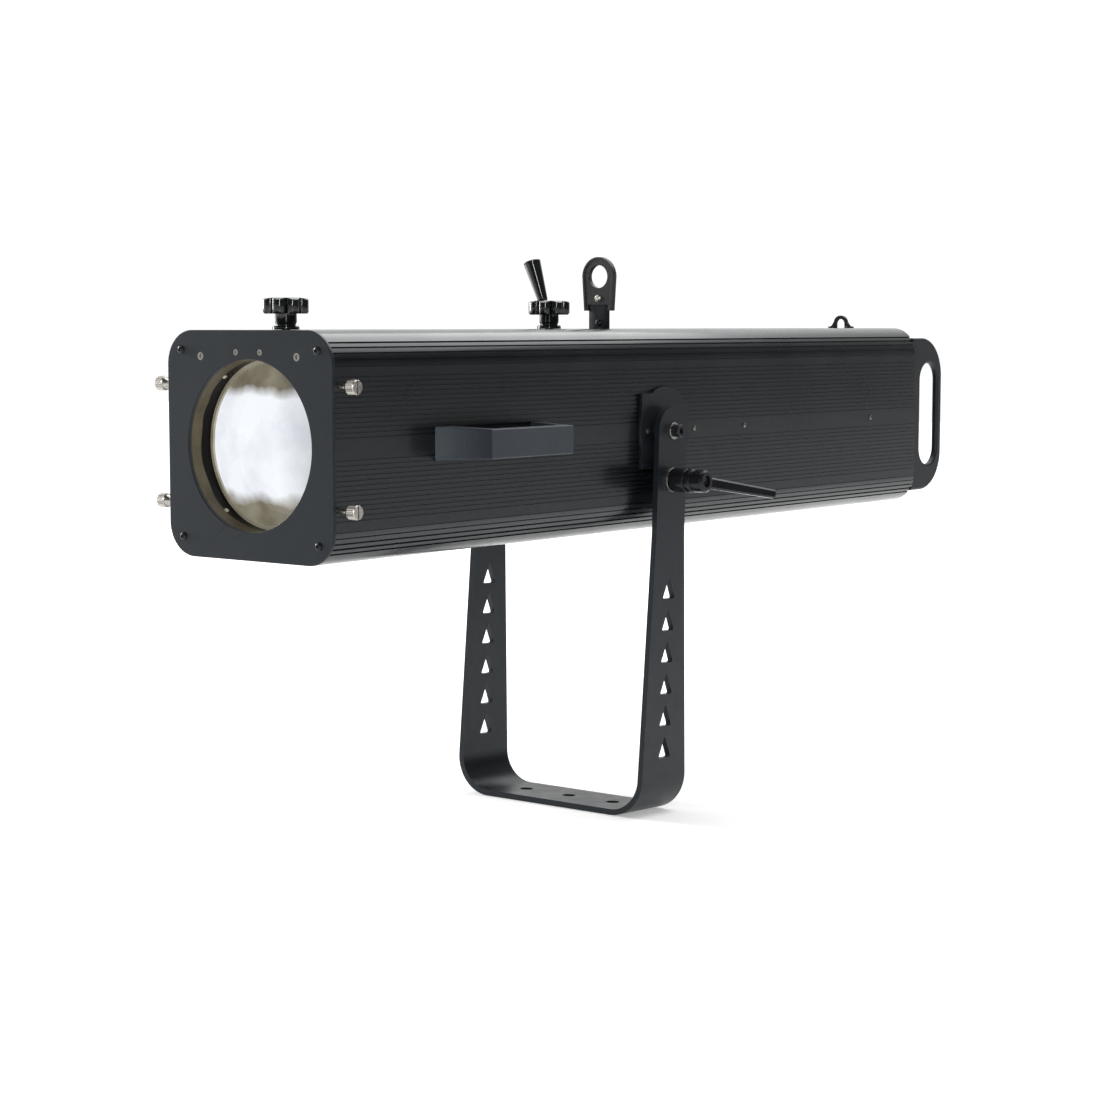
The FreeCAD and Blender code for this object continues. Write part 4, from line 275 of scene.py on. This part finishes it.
def two_screws(name, split):
    """Nickel for the screw above the split height, black for the one below it."""
    graph = Graph(name)
    axes = head_axes(graph, head_point(0, 0, 0))
    upper = graph.spread(axes["Z"], 0.0, 1.0, split - 0.001, split + 0.001)
    mix = graph.node("ShaderNodeMix", data_type="RGBA")
    graph.link(upper, mix.inputs["Factor"])
    mix.inputs["A"].default_value = (0.03, 0.03, 0.03, 1)
    graph.link(graph.blend(graph.noise(300.0), (0.6, 0.57, 0.52), (0.74, 0.71, 0.66)), mix.inputs["B"])
    graph.link(mix.outputs["Result"], graph.shader.inputs["Base Color"])
    graph.set(Metallic=0.8, Roughness=0.3)
    return graph.material


def clear_glass(name):
    """Clean optical glass for the inner lenses."""
    graph = Graph(name)
    graph.link(graph.spread(graph.noise(40.0, 2.0), 0.01, 0.05), graph.shader.inputs["Roughness"])
    graph.set(Transmission_Weight=1.0, IOR=1.5)
    return graph.material


MATERIALS = {
    "black_powder_coat": powder_coat("powder_coat_black", (0.010, 0.012, 0.015), 0.36),
    "black_anodised": anodised("anodised_black", (0.004, 0.0047, 0.0055), 0.3),
    "grip_black": powder_coat("grip_coat_black", (0.013, 0.0145, 0.017), 0.4),
    "handle_black": powder_coat("handle_coat_black", (0.036, 0.042, 0.05), 0.48, 700.0, 0.0002),
    "gloss_black_plastic": gloss_plastic("gloss_black", (0.009, 0.01, 0.011), 0.1),
    "satin_black_plastic": satin_plastic("satin_black", (0.012, 0.013, 0.015), 0.42),
    "lever_black": powder_coat("lever_coat_black", (0.008, 0.008, 0.009), 0.22),
    "black_steel": powder_coat("black_oxide", (0.014, 0.014, 0.016), 0.3, 1600.0, 0.00005),
    "bright_steel": bare_metal("nickel_plate", (0.5, 0.475, 0.44), 0.26),
    "plain_aluminium": bare_metal("mill_aluminium", (0.72, 0.72, 0.73), 0.35),
    "inner_black": powder_coat("inner_matt_black", (0.008, 0.008, 0.008), 0.6),
    "lens_cell_metal": lens_cell("cell_tan"),
    "lens_ring_metal": painted_glow_ring("ring_pale_gold_painted_glow"),
    "lamp_module": satin_plastic("lamp_white", (0.6, 0.58, 0.5), 0.5),
    "lens_glass": clear_glass("lens_glass_clear"),
}


slot_of = {part["node"]: part["material_slot"] for part in frame["record"]["subparts"]}


def dress(name, material):
    data = nodes[name].data
    data.materials.clear()
    data.materials.append(material)


for node_name in nodes:
    dress(node_name, MATERIALS[slot_of[node_name]])
dress("focus_lens", painted_glow_lens("lens_front_painted_glow"))
dress("silver_screws", bare_metal("zinc_screws", (0.3, 0.285, 0.265), 0.34))
dress("paddle_screws", two_screws("screws_by_height", PADDLE_SCREW_SPLIT))


# Edge rounding of CAD pieces ---------------------------------------------------------------------

WELD_DISTANCE = 0.000002
SHARP_EDGE = math.radians(32)
EDGE_ROUNDS = {
    "front_plate": 0.0003, "bracket_plate_right": 0.0005, "bracket_plate_left": 0.0005,
    "clamp_lever": 0.0006, "focus_knob": 0.0008, "zoom_knob": 0.0008, "iris_handle": 0.0006,
    "ring_paddle": 0.0006, "safety_eye": 0.0005, "gate_slide": 0.0002, "rear_panel": 0.0003,
    "pivot_washers": 0.0003, "clamp_washer": 0.0003, "pivot_bolts": 0.0003,
}


def round_edges(name, width):
    """Small rounds on the sharp edges of one CAD piece, by modifiers."""
    piece = nodes[name]
    weld = piece.modifiers.new("weld", "WELD")
    weld.merge_threshold = WELD_DISTANCE
    bevel = piece.modifiers.new("edges", "BEVEL")
    bevel.width = width
    bevel.segments = 3
    bevel.limit_method = "ANGLE"
    bevel.angle_limit = SHARP_EDGE
    bevel.harden_normals = True
    bevel.use_clamp_overlap = True


for node_name, edge_width in EDGE_ROUNDS.items():
    round_edges(node_name, edge_width)


# Added pieces --------------------------------------------------------------------------------------

CELL_BORE_RADIUS = 0.077
CELL_SCREW_DEPTH = 0.018
CELL_SCREW_ANGLES = (52, 128, 232, 308)
CELL_SCREW_RADIUS = 0.0024
CELL_SCREW_FLATTENING = 0.45


def make_cell_screws():
    """Small domed screw heads round the bore of the lens cell."""
    bpy.ops.mesh.primitive_uv_sphere_add(segments=20, ring_count=10, radius=CELL_SCREW_RADIUS)
    ball = bpy.context.object
    dome = ball.data
    bpy.data.objects.remove(ball)
    vertices = []
    faces = []
    for angle in CELL_SCREW_ANGLES:
        turn = math.radians(angle)
        out = ACROSS * math.cos(turn) + UP * math.sin(turn)
        seat = head_point(0, CELL_SCREW_DEPTH, 0) + out * CELL_BORE_RADIUS
        first = len(vertices)
        for vertex in dome.vertices:
            flat = vertex.co - out * (CELL_SCREW_FLATTENING * vertex.co.dot(out))
            vertices.append(seat + flat)
        faces.extend([tuple(first + index for index in face.vertices) for face in dome.polygons])
    mesh = bpy.data.meshes.new("cell_screws")
    mesh.from_pydata(vertices, [], faces)
    mesh.polygons.foreach_set("use_smooth", [True] * len(mesh.polygons))
    # The screws take the ring's material, and with it the ring's painted glow
    mesh.materials.append(MATERIALS["lens_ring_metal"])
    piece = bpy.data.objects.new("cell_screws", mesh)
    bpy.context.scene.collection.objects.link(piece)
    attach(piece, "focus_carriage")


make_cell_screws()

# Studio -------------------------------------------------------------------------------------------

BEHIND_LEFT = (-0.88, 0.475, 0.0)


FLOOR_HALF_SIZE = 60.0
FLOOR_DROP = 0.0005           # keeps the yoke's base clear of the floor's face


def make_floor():
    """Pale floor, with a glow beyond the object so that it meets the white surround unseen."""
    size = FLOOR_HALF_SIZE
    mesh = bpy.data.meshes.new("floor")
    corners = [(-size, -size, 0), (size, -size, 0), (size, size, 0), (-size, size, 0)]
    mesh.from_pydata(corners, [], [(0, 1, 2, 3)])
    floor = bpy.data.objects.new("floor", mesh)
    bpy.context.scene.collection.objects.link(floor)
    floor.location.z = -FLOOR_DROP
    graph = Graph("floor_white")
    tone = graph.blend(graph.noise(3.0), (0.9, 0.9, 0.9), (0.92, 0.92, 0.92))
    graph.link(tone, graph.shader.inputs["Base Color"])
    graph.link(tone, graph.shader.inputs["Emission Color"])
    beyond = graph.node("ShaderNodeVectorMath", operation="DOT_PRODUCT")
    beyond.inputs[1].default_value = BEHIND_LEFT
    graph.link(graph.place, beyond.inputs[0])
    glow = graph.spread(beyond.outputs["Value"], 0.36, 1.25, 0.6, 2.6)
    graph.link(glow, graph.shader.inputs["Emission Strength"])
    graph.set(Roughness=0.9)
    mesh.materials.append(graph.material)


def softbox(name, spot, target, width, height, power):
    light = bpy.data.lights.new(name, "AREA")
    light.shape = "RECTANGLE"
    light.size = width
    light.size_y = height
    light.energy = power
    lamp = bpy.data.objects.new(name, light)
    bpy.context.scene.collection.objects.link(lamp)
    lamp.location = spot
    lamp.rotation_euler = (Vector(target) - Vector(spot)).to_track_quat("-Z", "Y").to_euler()


def make_world():
    """White surround that falls off towards the right, so that the dark side keeps its contrast."""
    world = bpy.data.worlds.new("studio")
    world.use_nodes = True
    tree = world.node_tree
    sky = tree.nodes.new("ShaderNodeTexCoord")
    facing = tree.nodes.new("ShaderNodeVectorMath")
    facing.operation = "DOT_PRODUCT"
    facing.inputs[1].default_value = BEHIND_LEFT
    tree.links.new(sky.outputs["Generated"], facing.inputs[0])
    level = tree.nodes.new("ShaderNodeMapRange")
    level.interpolation_type = "SMOOTHSTEP"
    level.inputs["From Min"].default_value = -0.15
    level.inputs["From Max"].default_value = 0.7
    level.inputs["To Min"].default_value = 0.06
    level.inputs["To Max"].default_value = 1.05
    tree.links.new(facing.outputs["Value"], level.inputs["Value"])
    tree.links.new(level.outputs["Result"], tree.nodes["Background"].inputs["Strength"])
    tree.nodes["Background"].inputs["Color"].default_value = (1.0, 1.0, 1.0, 1)
    bpy.context.scene.world = world


CAMERA_SPOT = (1.5192, -1.5021, 0.1094)     # from the front plate's centre, head axes
CAMERA_AZIMUTH = math.radians(38.11)
CAMERA_PITCH = math.radians(5.45)
CAMERA_LENS = 77.96


def make_camera():
    level = math.cos(CAMERA_PITCH)
    sight = (ACROSS * (-math.sin(CAMERA_AZIMUTH) * level) + AHEAD * (math.cos(CAMERA_AZIMUTH) * level)
             - UP * math.sin(CAMERA_PITCH))
    right = sight.cross(UP).normalized()
    top = right.cross(sight).normalized()
    camera = bpy.data.objects.new("camera", bpy.data.cameras.new("camera"))
    bpy.context.scene.collection.objects.link(camera)
    place = Matrix((right, top, -sight)).transposed().to_4x4()
    place.translation = head_point(*CAMERA_SPOT)
    camera.matrix_world = place
    camera.data.lens = CAMERA_LENS
    camera.data.sensor_width = 36.0
    camera.data.clip_end = 100.0
    bpy.context.scene.camera = camera


make_floor()
make_world()
softbox("overhead", (0.1, 0.9, 2.6), (0, 0.2, 0.4), 3.0, 3.0, 76.0)
softbox("left_strip", (-3.0, -0.7, 1.2), (0, -0.4, 0.5), 0.4, 1.8, 70.0)
softbox("right_strip", (2.4, -2.8, 1.4), (0, -0.2, 0.5), 0.3, 1.8, 34.0)
make_camera()
bpy.context.scene.view_settings.view_transform = "Standard"
